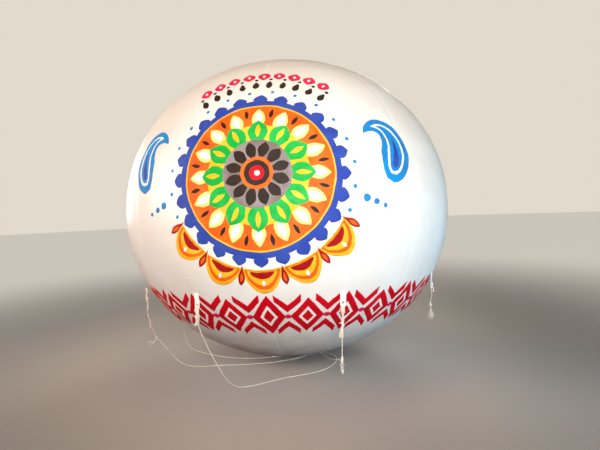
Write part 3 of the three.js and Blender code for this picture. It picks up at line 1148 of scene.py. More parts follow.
@dataclass
class LoadTab:
    """One load tab: the strap, the patch that welds it to the skin, its stitches and its eyelet.

    The eyelet's profile is radius and height in millimetres, from the bore over its upper side.
    """

    shape: EnvelopeShape
    station: Station
    stitches: Pattern
    width: float = 0.054
    length: float = 0.138
    corner: float = 0.009
    root: float = 0.105
    thickness: float = 0.0024
    clear: float = 0.0008
    belly_end: float = 0.092
    flare: float = 0.0030
    flare_start: float = 0.120
    stand_off: float = 0.0048
    cup: float = 0.0016
    bend_above: float = 0.006
    bend_below: float = 0.010
    stitch_top: float = 0.0165
    stitch_inset: float = 0.0045
    stitch_low: float = 0.0075
    stitch_box: float = 0.022
    pitch: float = 0.0055
    eyelet_drop: float = 0.108
    hole: float = 0.0088
    patch_width: float = 0.130
    patch_length: float = 0.150
    patch_corner: float = 0.022
    patch_edge: float = 0.0024
    patch_thickness: float = 0.0009
    patch_sunk: float = 0.001
    patch_pitch: float = 0.006
    profile: tuple[Row, ...] = (
        (7.6, 2.0), (7.9, 2.7), (8.8, 3.1), (10.4, 3.0), (12.0, 2.5), (13.0, 1.7), (13.1, 1.25),
    )
    curl: float = field(init=False)
    lean: float = field(init=False)

    def __post_init__(self) -> None:
        """Gives each strap its own slight belly and lean."""
        self.curl = 0.0022 + 0.0011 * math.sin(2.3 * self.station.number)
        self.lean = 0.0030 * math.sin(1.7 * self.station.number + 0.4)

    def on_skin(self, flat: np.ndarray, lift: float | np.ndarray) -> np.ndarray:
        """Places points given as sideways and up from the fold on the skin.

        Args:
            flat: Points as sideways and up from the fold.
            lift: How far above the skin they lie.

        Returns:
            The points in the frame.
        """
        slope = math.radians(self.shape.steepness_at(self.station.fold.z))
        ahead = np.array([slope - 0.001, slope + 0.001])
        radius, height = self.shape.profile(ahead)
        stretch = math.hypot(radius[1] - radius[0], height[1] - height[0]) / 0.002
        around = self.station.azimuth + flat[:, 0] / self.shape.profile(np.array(slope))[0]
        return self.shape.point(around, slope + flat[:, 1] / stretch, lift)

    def hanging(self, flat: np.ndarray, lift: float) -> np.ndarray:
        """Places points of the strap: below the fold it hangs, and above it lies on the skin.

        Args:
            flat: Points as sideways and up from the fold.
            lift: How far outside the strap's middle they lie.

        Returns:
            The points in the frame.
        """
        sideways, down = flat[:, 0], -flat[:, 1]
        hung = np.clip(down, 0, None)
        belly = self.curl * np.sin(np.clip(hung / self.belly_end, 0, 1) * np.pi) ** 2
        flare = self.flare * np.clip((hung - self.flare_start) / (self.length - self.flare_start), 0, 1) ** 2
        stood = self.stand_off * np.clip(hung / 0.009, 0, 1) * np.clip((0.062 - hung) / 0.034, 0, 1)
        cup = -self.cup * (sideways / (self.width / 2)) ** 2 * np.clip(hung / 0.06, 0, 1)
        sway = self.lean * np.sin(np.clip(hung / self.length, 0, 1) * np.pi)
        free = self.station.spot.place(stacked(belly + flare + stood + cup + lift, sideways + sway, hung))
        stuck = self.on_skin(flat, self.clear + self.thickness / 2 + lift)
        share = eased(np.clip((down + self.bend_above) / self.bend_below, 0, 1)[:, None])
        return free * share + stuck * (1 - share)

    def strap(self) -> None:
        """Makes the strap, which bends at the fold."""
        half, low, cut = self.width / 2, -self.length, self.corner
        corners = [(-half, self.root), (-half, low + cut), (-half + cut, low)]
        corners += [(half - cut, low), (half, low + cut), (half, self.root)]
        outline = []
        for here, there in zip(corners, corners[1:] + corners[:1]):
            steps = max(1, round(math.dist(here, there) / 0.005))
            outline += [tuple(np.array(here) + (np.array(there) - here) * k / steps) for k in range(steps)]
        hole = np.array(arc((0.0, -self.eyelet_drop), self.hole, 0, 360, 29)[:-1])
        flat, faces = filled_outline(np.array(outline), [hole], self.pitch)
        lift = self.thickness / 2
        data = closed_film(flat, faces, lambda p: self.hanging(p, lift), lambda p: self.hanging(p, -lift))
        made = add_object(f"strap_{self.station.number}", data, [WEBBING], smooth=False)
        bevel = made.modifiers.new("rounded edge", "BEVEL")
        bevel.width = 0.0006
        bevel.segments = 2
        bevel.angle_limit = math.radians(50)
        rounded = bpy.data.meshes.new_from_object(made.evaluated_get(bpy.context.evaluated_depsgraph_get()))
        made.modifiers.clear()
        made.data = rounded
        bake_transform(made)
        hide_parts(f"load_tab_{self.station.number}")
        LOG.info("%s bends between %s and %s", made.name, ENVELOPE_BODY, self.station.body)

    def patch(self) -> None:
        """Makes the welded patch, raised where the strap's root lies under it."""
        half, corner = self.patch_width / 2, self.patch_corner
        low, high = self.patch_edge + corner, self.patch_edge + self.patch_length - corner
        outline = []
        for turn, (side, level) in enumerate(((1, low), (1, high), (-1, high), (-1, low))):
            outline += arc((side * (half - corner), level), corner, 90 * turn - 90, 90 * turn, 9)
        flat, faces = filled_outline(np.array(outline), [], self.patch_pitch)

        def lifted(points: np.ndarray) -> np.ndarray:
            """The patch's outer side, with the print of the strap.

            Args:
                points: Points as sideways and up from the fold.

            Returns:
                The points in the frame.
            """
            across = np.clip((self.width / 2 + 0.004 - np.abs(points[:, 0])) / 0.005, 0, 1)
            upwards = np.clip((self.root + 0.004 - points[:, 1]) / 0.006, 0, 1)
            print_of_strap = (self.thickness + self.clear) * eased(np.minimum(across, upwards))
            return self.on_skin(points, self.patch_thickness + print_of_strap)

        data = closed_film(flat, faces, lifted, lambda points: self.on_skin(points, -self.patch_sunk))
        made = add_object(f"patch_{self.station.number}", data, [SKIN])
        seat(made, ENVELOPE_BODY, "tape", f"tab_patch_{self.station.number}")

    def eyelet(self) -> None:
        """Makes the rolled eyelet."""
        upper = np.array(self.profile) / 1000
        radius, height = np.vstack([upper, upper[::-1] * (1, -1)]).T
        turns = full_turn(40)
        down = self.eyelet_drop - np.outer(np.sin(turns), radius)
        rings = self.station.spot.place(stacked(height, np.outer(np.cos(turns), radius), down))
        made = add_object(f"rolled_eyelet_{self.station.number}", ring_body(rings, flip=True), [EYELET])
        seat(made, self.station.body, "eyelet_metal", f"eyelet_{self.station.number}")

    def stitching(self) -> None:
        """Makes the stitches: a row down each side of the hanging strap and a box round the eyelet."""
        side, top = self.width / 2 - self.stitch_inset, -self.stitch_top
        low, box = self.stitch_low - self.length, self.stitch_box - self.eyelet_drop
        runs = [
            [(-side, top), (-side, low)], [(side, top), (side, low)],
            [(-side, low), (side, low)], [(-side, box), (side, box)], [(-side, top), (side, top)],
        ]
        lines = []
        for start, end in runs:
            flat = np.linspace(start, end, 24)
            lines += [self.hanging(flat, face * (self.thickness / 2 + 0.0001)) for face in (1, -1)]
        values = {"Spacing": 0.0042, "Stitch Length": 0.0030, "Thread Radius": 0.00045}
        made = self.stitches.made(f"stitching_{self.station.number}", lines, THREAD, values)
        seat(made, self.station.body, "tape")

    def build(self) -> None:
        """Makes every piece of the tab."""
        self.strap()
        self.patch()
        self.eyelet()
        self.stitching()


def coil(centre: Row, start: float, end: float, radius: float, pitch: float, phase: float = 0.0) -> Run:
    """A helix round a line that hangs, as points outwards, sideways and down.

    Args:
        centre: The line's place outwards and sideways.
        start: Its level down at the first turn.
        end: Its level at the last turn.
        radius: The helix's radius.
        pitch: The distance between turns.
        phase: The first point's angle in radians.

    Returns:
        Twelve points a turn.
    """
    steps = max(3, round(abs(end - start) / pitch * 12))
    turns = phase + np.linspace(0, abs(end - start) / pitch * 2 * np.pi, steps + 1)
    downs = np.linspace(start, end, steps + 1)
    return tuple(zip(centre[0] + radius * np.cos(turns), centre[1] + radius * np.sin(turns), downs))


@dataclass(frozen=True)
class Fray:
    """A loose end: where it starts and which way it hangs, outwards, sideways and down, in millimetres."""

    root: Point
    way: Point
    length: float = 36.0
    spread: float = 16.0
    core: float = 5.0
    count: int = 46
    yarn: float = 0.75


@dataclass(frozen=True)
class Hitch:
    """The rope's end that goes through an eyelet and is wound round itself, in millimetres from the fold."""

    number: int
    wraps: Run
    runs: tuple[Run, ...] = ()
    frays: tuple[Fray, ...] = ()
    plaits: tuple[Run, ...] = ()


BIGHT = (
    (3.4, -2.2, 152), (6.6, -1.8, 137), (9.6, -1, 125), (8.4, -0.3, 115.6), (4.4, 0, 111.8),
    (0, 0, 110.9), (-4.4, 0, 111.8), (-8.4, 0.3, 115.6), (-9.6, 1.2, 125), (-6.6, 2, 137),
    (-3.4, 2.4, 152),
)
SECOND_TURN = (
    (7.6, -6, 160), (12.4, -8.6, 146), (14.6, -7, 131), (12.6, -1.5, 121), (7.5, 3.4, 117),
    (0, 4.6, 116), (-8, 5, 119.5), (-12, 4.4, 130), (-9, 4, 145), (-6, 3, 158),
)

HITCHES = (
    # left front: two loops, a swollen bundle and a pointed tuft
    Hitch(
        8,
        ((150, 190, 12), (198, 240, 15.5)),
        (
            ((6, -4, 152), (11, -14, 146), (9, -22, 155), (4, -21, 168), (3, -10, 178),
             (3, 2, 184)),
            ((2, 3, 186), (8, 12, 190), (12, 14, 202), (10, 6, 214), (6, -4, 224),
             (4, -12, 238), (2, -12, 256)),
            ((-3, 6, 190), (-4, 13, 205), (-2, 14, 222), (2, 12, 240), (3, 6, 256)),
        ),
        (
            Fray((2, -8, 242), (0.05, -0.1, 1), 52, 13, 9, 90),
            Fray((3, 8, 240), (0.1, 0.1, 1), 30, 11, 5, 44),
        ),
        (((0, 0, 190), (14, -4, 198), (9, -17, 208), (-9, -14, 218), (-13, 6, 226),
          (3, 17, 232), (16, 6, 240), (8, -12, 248), (0, -4, 256)),),
    ),
    # right front: loops that bulge, a twisted tail with a small knot, and a square frayed block
    Hitch(
        1,
        ((150, 192, 11),),
        (
            ((4, -4, 148), (9, -16, 138), (8, -27, 146), (4, -26, 162), (4, -15, 174),
             (5, -4, 182)),
            ((4, -5, 182), (8, -17, 178), (7, -24, 190), (4, -18, 202), (3, -10, 208)),
        ),
        (Fray((4, -27, 354), (0.02, -0.03, 1), 50, 5, 17, 170),
         Fray((4, -30, 276), (0.1, -1, 0.25), 15, 5, 3.5, 26)),
        (
            ((3, -9, 196), (4, -12, 222), (3, -11, 250), (4, -14, 272), (4, -18, 298),
             (4, -20, 328), (4, -21, 360)),
            ((4, -12, 266), (9, -20, 268), (8, -27, 275), (2, -26, 282), (-1, -16, 280),
             (3, -10, 272)),
            ((4, -27, 322), (6, -28, 340), (5, -29, 360)),
            ((2, -15, 324), (2, -14, 342), (3, -13, 360)),
        ),
    ),
    # right side: the tab's own short rope, tied short
    Hitch(
        2,
        ((148, 176, 11.5),),
        (
            ((6, 3, 158), (12, 10, 166), (15, 12, 182), (14, 10, 200)),
            ((4, -4, 146), (10, -15, 140), (10, -22, 150), (4, -18, 162), (3, -8, 170)),
        ),
        (Fray((14, 10, 196), (0.2, 0.1, 1), 20, 8, 3, 26),),
    ),
    # left side: a thick knotty strand
    Hitch(
        7,
        ((150, 196, 11.5), (210, 228, 10.5)),
        (
            ((4, 4, 150), (10, 14, 142), (9, 22, 152), (4, 18, 166), (2, 8, 176)),
            ((3, -3, 196), (4, -11, 212), (3, -13, 232), (2, -10, 256), (3, -11, 284),
             (2, -9, 312), (2, -8, 338)),
            ((-3, 4, 196), (-3, 11, 214), (-2, 12, 240), (-3, 10, 268), (-2, 11, 300),
             (-2, 8, 322)),
        ),
        (
            Fray((2, -8, 334), (0.1, -0.1, 1), 22, 7, 3.5, 28),
            Fray((-2, 8, 318), (0, 0.2, 1), 18, 6, 3, 24),
        ),
        (
            ((0, 0, 186), (11, -2, 198), (8, -13, 210), (-6, -10, 222), (-9, 5, 234), (5, 12, 246),
             (15, 2, 258), (9, -12, 272), (-6, -6, 286), (-3, 9, 300), (9, 9, 314), (11, -5, 328),
             (1, -8, 342), (-2, 2, 356)),
            ((8, 0, 176), (16, 5, 190), (19, -4, 204), (14, -12, 216), (17, -3, 230), (13, 8, 242),
             (5, 10, 254)),
        ),
    ),
    # far left: plain
    Hitch(
        6,
        ((150, 198, 11),),
        (((2, 5, 160), (6, 12, 176), (5, 13, 200), (3, 12, 226)),),
        (Fray((3, 12, 222), (0.1, 0.2, 1), 24, 8, 3.5, 30),),
    ),
)


@dataclass(frozen=True)
class RopeLay:
    """A rope's size and how its three strands are laid."""

    diameter: float = 0.008
    strand: float = 0.0019
    lay_radius: float = 0.00215
    lay_length: float = 0.026
    step: float = 0.0033

    def values(self, scale: float = 1.0) -> dict[str, float]:
        """The laid rope tree's inputs, for a rope that much thicker or thinner.

        Args:
            scale: Its thickness, as a share of this rope's.

        Returns:
            Values by the inputs' labels.
        """
        return {
            "Strand Radius": self.strand * scale, "Lay Radius": self.lay_radius * scale,
            "Lay Length": self.lay_length * scale, "Step": self.step * scale,
        }


ROPE_LAY = RopeLay()


@dataclass
class RopeWork:
    """What is tied: hitches at the tabs, and the routes of the tethers to the ring that gathers them."""

    stations: Sequence[Station]
    hitch_start: float = 0.150
    hitch_end: float = 0.232
    lead: float = 0.024
    gap: float = 0.0003
    ring_centre: Row = (0.270, -0.115)
    ring_radius: float = 0.035
    ring_section: float = 0.005
    ring_reach: float = 0.0403
    ring_raised: float = 0.008
    rest: float = -1.686
    blend_end: float = 0.62
    path_step: float = 0.01
    places: dict[int, Station] = field(init=False)
    rope: Pattern = field(init=False)
    fray: Pattern = field(init=False)

    def __post_init__(self) -> None:
        """Sorts the stations by number and builds the rope trees."""
        self.places = {station.number: station for station in self.stations}
        self.rope = laid_rope_pattern()
        self.fray = fray_pattern()

    def lines(
        self, name: str, lines: list[np.ndarray], scale: float = 1.0, finish: Finish = ROPE
    ) -> bpy.types.Object:
        """Lays rope on lines of the frame."""
        return self.rope.made(name, lines, finish, ROPE_LAY.values(scale))

    def frayed(self, name: str, station: Station, fray: Fray, seed: int) -> bpy.types.Object:
        """Makes a loose end at a station."""
        root, ahead = station.spot.place(np.array([fray.root, np.add(fray.root, fray.way)]) / 1000)
        return self.frayed_at(name, root, ahead - root, fray, seed)

    def frayed_at(self, name: str, root: Row, way: Row, fray: Fray, seed: int) -> bpy.types.Object:
        """Makes a loose end of the frame, from a root along a way.

        Args:
            name: The piece's name.
            root: Where it starts.
            way: Which way it runs.
            fray: Its sizes.
            seed: The seed of its yarns.

        Returns:
            The finished piece.
        """
        values = {
            "Count": fray.count, "Length": fray.length / 1000, "Spread": fray.spread / 1000,
            "Core": fray.core / 1000, "Yarn Radius": fray.yarn / 1000, "Seed": seed,
        }
        made = self.fray.made(name, [np.zeros((2, 3))], ROPE, values)
        turn = Vector(way).to_track_quat("Z", "X").to_matrix().to_4x4()
        made.data.transform(Matrix.Translation(Vector(root)) @ turn)
        return made

    def hitch(self, hitch: Hitch) -> None:
        """Makes one station's hitch.

        Args:
            hitch: Its runs, plaits and loose ends.
        """
        station = self.places[hitch.number]
        spot = station.spot
        wraps = [coil((0.0, 0.0), *wrap, 8.3, hitch.number) for wrap in hitch.wraps]
        lines = [spot.run(run) for run in (BIGHT, SECOND_TURN, *hitch.runs, *wraps)]
        core = np.linspace(self.hitch_start, self.hitch_end, 12)
        lines.append(spot.place([(0.0, 0.0, down) for down in core]))
        made = self.lines(f"hitch_rope_{hitch.number}", lines)
        seat(made, station.body, "rope", f"hitch_{hitch.number}")
        if hitch.plaits:
            plaits = [spot.run(run) for run in hitch.plaits]
            seat(self.lines(f"hitch_tail_{hitch.number}", plaits, 1.15), station.body, "rope")
        for order, fray in enumerate(hitch.frays):
            name = f"frayed_end_{hitch.number}_{order + 1}"
            piece = self.frayed(name, station, fray, 11 * hitch.number + order)
            seat(piece, station.body, "rope")

    def route(self, number: int, points: Sequence[Row], to_ring: bool) -> np.ndarray:
        """The middle line of a tether, from under its hitch.

        Args:
            number: The station's number.
            points: The route's points in millimetres, after the straight lead.
            to_ring: Whether it ends at the load ring.

        Returns:
            Points a centimetre apart.
        """
        station = self.places[number]
        exit_drop = self.hitch_end + self.gap
        head = station.spot.place([(0, 0, exit_drop), (0, 0, exit_drop + self.lead)])
        line = [*head, *(np.array(points, float) / 1000)]
        if to_ring:
            line.append(self.at_ring(line[-1], self.ring_reach, self.rest))
        path = smooth_path(line, self.path_step)
        path[:, 2] = np.maximum(path[:, 2], self.rest)
        return path

    def at_ring(self, towards: Row, reach: float, level: float) -> np.ndarray:
        """The point at that distance from the ring's centre, on the side of another point."""
        away = np.array(towards[:2]) - self.ring_centre
        return np.array([*(self.ring_centre + away / np.linalg.norm(away) * reach), level])


class Lay(Enum):
    """How a tether lies, in the frame's words."""

    LOOSE = "loose"
    HANGING = "hanging"


@dataclass(frozen=True)
class Tied:
    """Something tied in a tether, some way along it: runs outwards, sideways and down in millimetres."""

    name: str
    distance: float
    runs: tuple[Run, ...]
    scale: float = 1.0
    loose: Fray | None = None


def twisted(start: float, end: float, radius: float, pitch: float, phase: float) -> Run:
    """One of two strands that are loosely twisted round each other, with slack in the middle.

    Args:
        start: Its level down at the start.
        end: Its level at the end.
        radius: The distance from the middle line.
        pitch: The length of a turn.
        phase: The first point's angle in radians.

    Returns:
        Points outwards, sideways and down.
    """
    steps = np.linspace(0, 1, 14)
    turns = phase + 2 * np.pi * (end - start) / pitch * steps
    slack = radius * (0.45 + 0.75 * np.sin(np.pi * steps) ** 2)
    downs = start + (end - start) * steps
    return tuple((r * math.cos(t), r * math.sin(t), d) for r, t, d in zip(slack, turns, downs))


SMALL_KNOT = (
    (0, 0, -14), (6, -7, -8), (9, 0, -2), (3, 9, 2), (-8, 5, 0), (-8, -6, 2), (3, -9, 6), (9, 1, 9),
    (2, 7, 12), (-3, 1, 16),
)
# an eye at the end of a short branch: along the branch, sideways and down
EYE_BRANCH = tuple((0.96 * ahead, side - 0.28 * ahead, down) for ahead, side, down in (
    (-2, 0, -12), (6, -2, 2), (20, -2, 19), (36, -2, 36), (48, 0, 45), (62, 3, 40), (79, 3, 41),
    (92, 2, 50), (94, 0, 62), (84, -2, 72), (68, -3, 73), (54, -3, 66), (44, -6, 55), (34, -8, 45),
    (20, -8, 31),
))


@dataclass(frozen=True)
class Tether:
    """One tether: its station and the points that it passes, in millimetres."""

    number: int
    points: Run
    lay: Lay = Lay.LOOSE
    to_ring: bool = True
    tied: tuple[Tied, ...] = ()


# the short rope's knot, and the loose end below it
TASSEL_KNOT = (
    (0, 0, -26), (1, 1, -12), (6, 7, -4), (11, 3, 4), (6, -8, 6), (-5, -10, 2), (-10, 0, -4), (-4, 9, 2),
    (6, 6, 12), (8, -4, 16), (0, -7, 12), (-4, 0, 16), (0, 2, 30),
)
TASSEL = Fray((0, 0, 0), (0, 0, 1), 136.0, 26.0, 5.5, 170, 0.85)

# the eye round the ring, outwards, sideways and down from the ring's section
RING_EYE = (
    (16, 0, 8.8), (6, 0, 9.0), (0, 0.3, 9.3), (-6.6, 0.8, 6.6), (-9.3, 1.4, 0), (-6.6, 2.2, -6.6),
    (0, 3.4, -9.3), (7.5, 5.0, -7.0), (14, 7.0, -0.5), (22, 8.2, 6.0), (34, 8.4, 8.6), (50, 8.8, 9.0),
    (66, 11.0, 9.0),
)
RING_FRAY = Fray((0, 0, 0), (0, 0, 1), 24.0, 5.0, 2.6, 26, 0.6)

REST_MM = -1686.0
TETHERS = (
    Tether(1, (
        (632, -1546, -985), (623, -1547, -1080), (618, -1547, -1180), (616, -1546, -1262),
        (613, -1536, -1296), (609, -1514, -1308), (603, -1470, -1318), (588, -1330, -1358),
        (566, -1150, -1418), (541, -950, -1490), (511, -750, -1560), (476, -565, -1622), (436, -410, -1668),
        (392, -290, REST_MM), (346, -205, REST_MM),
    ), tied=(
        Tied("joining_knot", 0.36, (coil((0, 0), -16, 10, 8.6, 8.2), SMALL_KNOT)),
        Tied("hanging_pair", 0.37, (
            twisted(0, 96, 12, 66, 0.4), twisted(0, 96, 12, 66, 3.5), coil((0, 0), 84, 104, 8.0, 8.2),
        ), 1.0, Fray((0, 0, 100), (0, 0, 1), 20, 7, 4, 34)),
    )),
    Tether(2, (
        (1534, -644, -960), (1526, -647, -1010), (1523, -648, -1060), (1526, -647, -1110),
        (1530, -645, -1165),
    ), Lay.HANGING, False),
    Tether(6, (
        (-1552, 643, -985), (-1572, 648, -1090), (-1600, 652, -1220), (-1628, 652, -1370),
        (-1645, 638, -1510), (-1642, 596, -1622), (-1604, 520, -1678), (-1545, 405, REST_MM),
        (-1452, 215, REST_MM), (-1348, 45, REST_MM), (-1240, -72, REST_MM), (-1090, -176, REST_MM),
        (-900, -278, REST_MM), (-700, -346, REST_MM), (-500, -372, REST_MM), (-340, -352, REST_MM),
        (-180, -304, REST_MM), (-20, -240, REST_MM), (110, -180, REST_MM),
    )),
    Tether(7, (
        (-1553, -641, -985), (-1550, -641, -1070), (-1527, -638, -1180), (-1492, -634, -1290),
        (-1464, -631, -1356), (-1428, -628, -1398), (-1380, -622, -1454), (-1312, -612, -1548),
        (-1236, -602, -1630), (-1150, -602, -1676), (-1060, -614, REST_MM), (-930, -620, REST_MM),
        (-790, -594, REST_MM), (-610, -574, REST_MM), (-425, -550, REST_MM), (-240, -510, REST_MM),
        (-60, -448, REST_MM), (75, -366, REST_MM), (170, -262, REST_MM),
    ), tied=(
        Tied("splice", 0.29, (
            coil((2, 0), -38, 34, 7.0, 8.6), ((3, 4, -52), (5, 6, -30), (4, 6, 20), (2, 3, 46)),
        )),
        Tied("branch_knot", 0.465, (coil((0, 0), -12, 8, 8.4, 8.2), SMALL_KNOT)),
        Tied("eye_branch", 0.465, (EYE_BRANCH,)),
    )),
    Tether(8, (
        (-634, -1542, -985), (-606, -1526, -1080), (-566, -1486, -1220), (-524, -1420, -1370),
        (-488, -1334, -1510), (-452, -1248, -1618), (-404, -1186, -1674), (-330, -1150, REST_MM),
        (-240, -1106, REST_MM), (-120, -1022, REST_MM), (20, -930, REST_MM), (180, -854, REST_MM),
        (340, -764, REST_MM), (454, -640, REST_MM), (516, -490, REST_MM), (524, -350, REST_MM),
        (484, -248, REST_MM), (408, -182, REST_MM),
    )),
)


@dataclass
class Rigging(RopeWork):
    """The tethers with their knots, and the load ring."""

    knot_above: float = 0.146
    tassel_above: float = 0.126
    binding_turns: int = 7

    def tether(self, tether: Tether) -> None:
        """Makes one tether, with what is tied in it.

        Args:
            tether: Its route and what is tied in it.
        """
        path = self.route(tether.number, tether.points, tether.to_ring)
        station = self.places[tether.number]
        made = self.lines(f"tether_{tether.number}", [path])
        if not tether.to_ring:
            pieces = self.tassel(station, path)
            seat(made, station.body, "rope", f"rope_{tether.number}")
            return
        pieces = self.ring_knot(tether.number, path)
        self.bend(made, station, path)
        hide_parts(f"rope_{tether.number}")
        for tied in tether.tied:
            place = path[int(round(tied.distance / self.path_step))]
            spot = station.at(place)
            runs = [spot.run(run) for run in tied.runs]
            piece = self.lines(f"{tied.name}_{tether.number}", runs, tied.scale)
            self.bend(piece, station, path)
            pieces.append(piece)
            if tied.loose is not None:
                root, way = spot.place(np.array([tied.loose.root, tied.loose.way]) / 1000)
                name = f"{tied.name}_end_{tether.number}"
                piece = self.frayed_at(name, root, way - place, tied.loose, 60 + tether.number)
                self.bend(piece, station, path)
                pieces.append(piece)

    def bend(self, piece: bpy.types.Object, station: Station, path: np.ndarray) -> None:
        """Bakes a tether's piece into place in the frame.

        Args:
            piece: The piece.
            station: The tether's station; not used.
            path: The tether's middle line; not used.
        """
        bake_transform(piece)
        LOG.info("%s bends between %s and %s", piece.name, station.body, ENVELOPE_BODY)

    def tassel(self, station: Station, path: np.ndarray) -> list[bpy.types.Object]:
        """Makes the short rope's knot and its loose end.

        Args:
            station: The rope's station.
            path: The rope's middle line.

        Returns:
            The two pieces.
        """
        spots = []
        for above in (self.knot_above, self.tassel_above):
            level = path[-1, 2] + above
            nearest = path[int(np.argmin(np.abs(path[:, 2] - level)))]
            spots.append((float(nearest[0]), float(nearest[1]), float(level)))
        tied = self.lines("short_rope_knot", [station.at(spots[0]).run(TASSEL_KNOT)])
        seat(tied, station.body, "rope")
        loose = self.frayed_at("short_rope_tassel", spots[1], (0.02, 0.0, -1.0), TASSEL, 5)
        seat(loose, station.body, "rope")
        return [tied, loose]

    def ring_knot(self, number: int, path: np.ndarray) -> list[bpy.types.Object]:
        """Makes the eye that a tether's end forms round the load ring, with its binding.

        Args:
            number: The tether's number.
            path: The tether's middle line.

        Returns:
            The three pieces.
        """
        away = path[-6, :2] - self.ring_centre
        level = FLOOR_LEVEL + self.ring_section + self.ring_raised
        spot = Spot(self.at_ring(path[-6], self.ring_radius, level), math.atan2(away[0], -away[1]))
        turns = np.linspace(0, 2 * np.pi * self.binding_turns, self.binding_turns * 16)
        along, across = 20 + 1.9 * turns / (2 * np.pi), 4.1 + 9.0 * np.cos(turns)
        binding = stacked(along, across, 7.4 - 5.0 * np.sin(turns)) / 1000
        tied = self.lines(f"ring_eye_{number}", [spot.run(RING_EYE)])
        bound = self.lines(f"ring_binding_{number}", [spot.place(binding)], 0.24, THREAD)
        root, ahead = spot.place([(0.064, 0.0106, 0.0076), (1.064, 0.2606, 0.0076)])
        loose = self.frayed_at(f"ring_end_{number}", root, ahead - root, RING_FRAY, 40 + number)
        for piece in (tied, bound, loose):
            seat(piece, ENVELOPE_BODY, "rope")
        return [tied, bound, loose]

    def load_ring(self) -> None:
        """Makes the welded ring, lifted on the knots' side."""
        turns, round_section = full_turn(120), full_turn(24)
        weld = 1 + 0.12 * np.exp(-(((turns - 1.9) / 0.07) ** 2)) + 0.02 * np.sin(9 * turns)
        around, section = np.meshgrid(turns, round_section, indexing="ij")
        thick = self.ring_section * weld[:, None]
        reach = self.ring_radius + thick * np.cos(section)
        tilt = self.ring_raised / (2 * self.ring_radius)
        height = thick * np.sin(section) + (self.ring_radius - reach * np.sin(around)) * tilt
        points = stacked(reach * np.cos(around), reach * np.sin(around), height)
        points += (*self.ring_centre, FLOOR_LEVEL + self.ring_section)
        made = add_object("welded_load_ring", ring_body(points), [GALVANISED])
        seat(made, ENVELOPE_BODY, "ring_steel", "load_ring")

    def build(self) -> None:
        """Makes every piece of rope and the ring."""
        for tether in TETHERS:
            self.tether(tether)
        for hitch in HITCHES:
            self.hitch(hitch)
        self.load_ring()


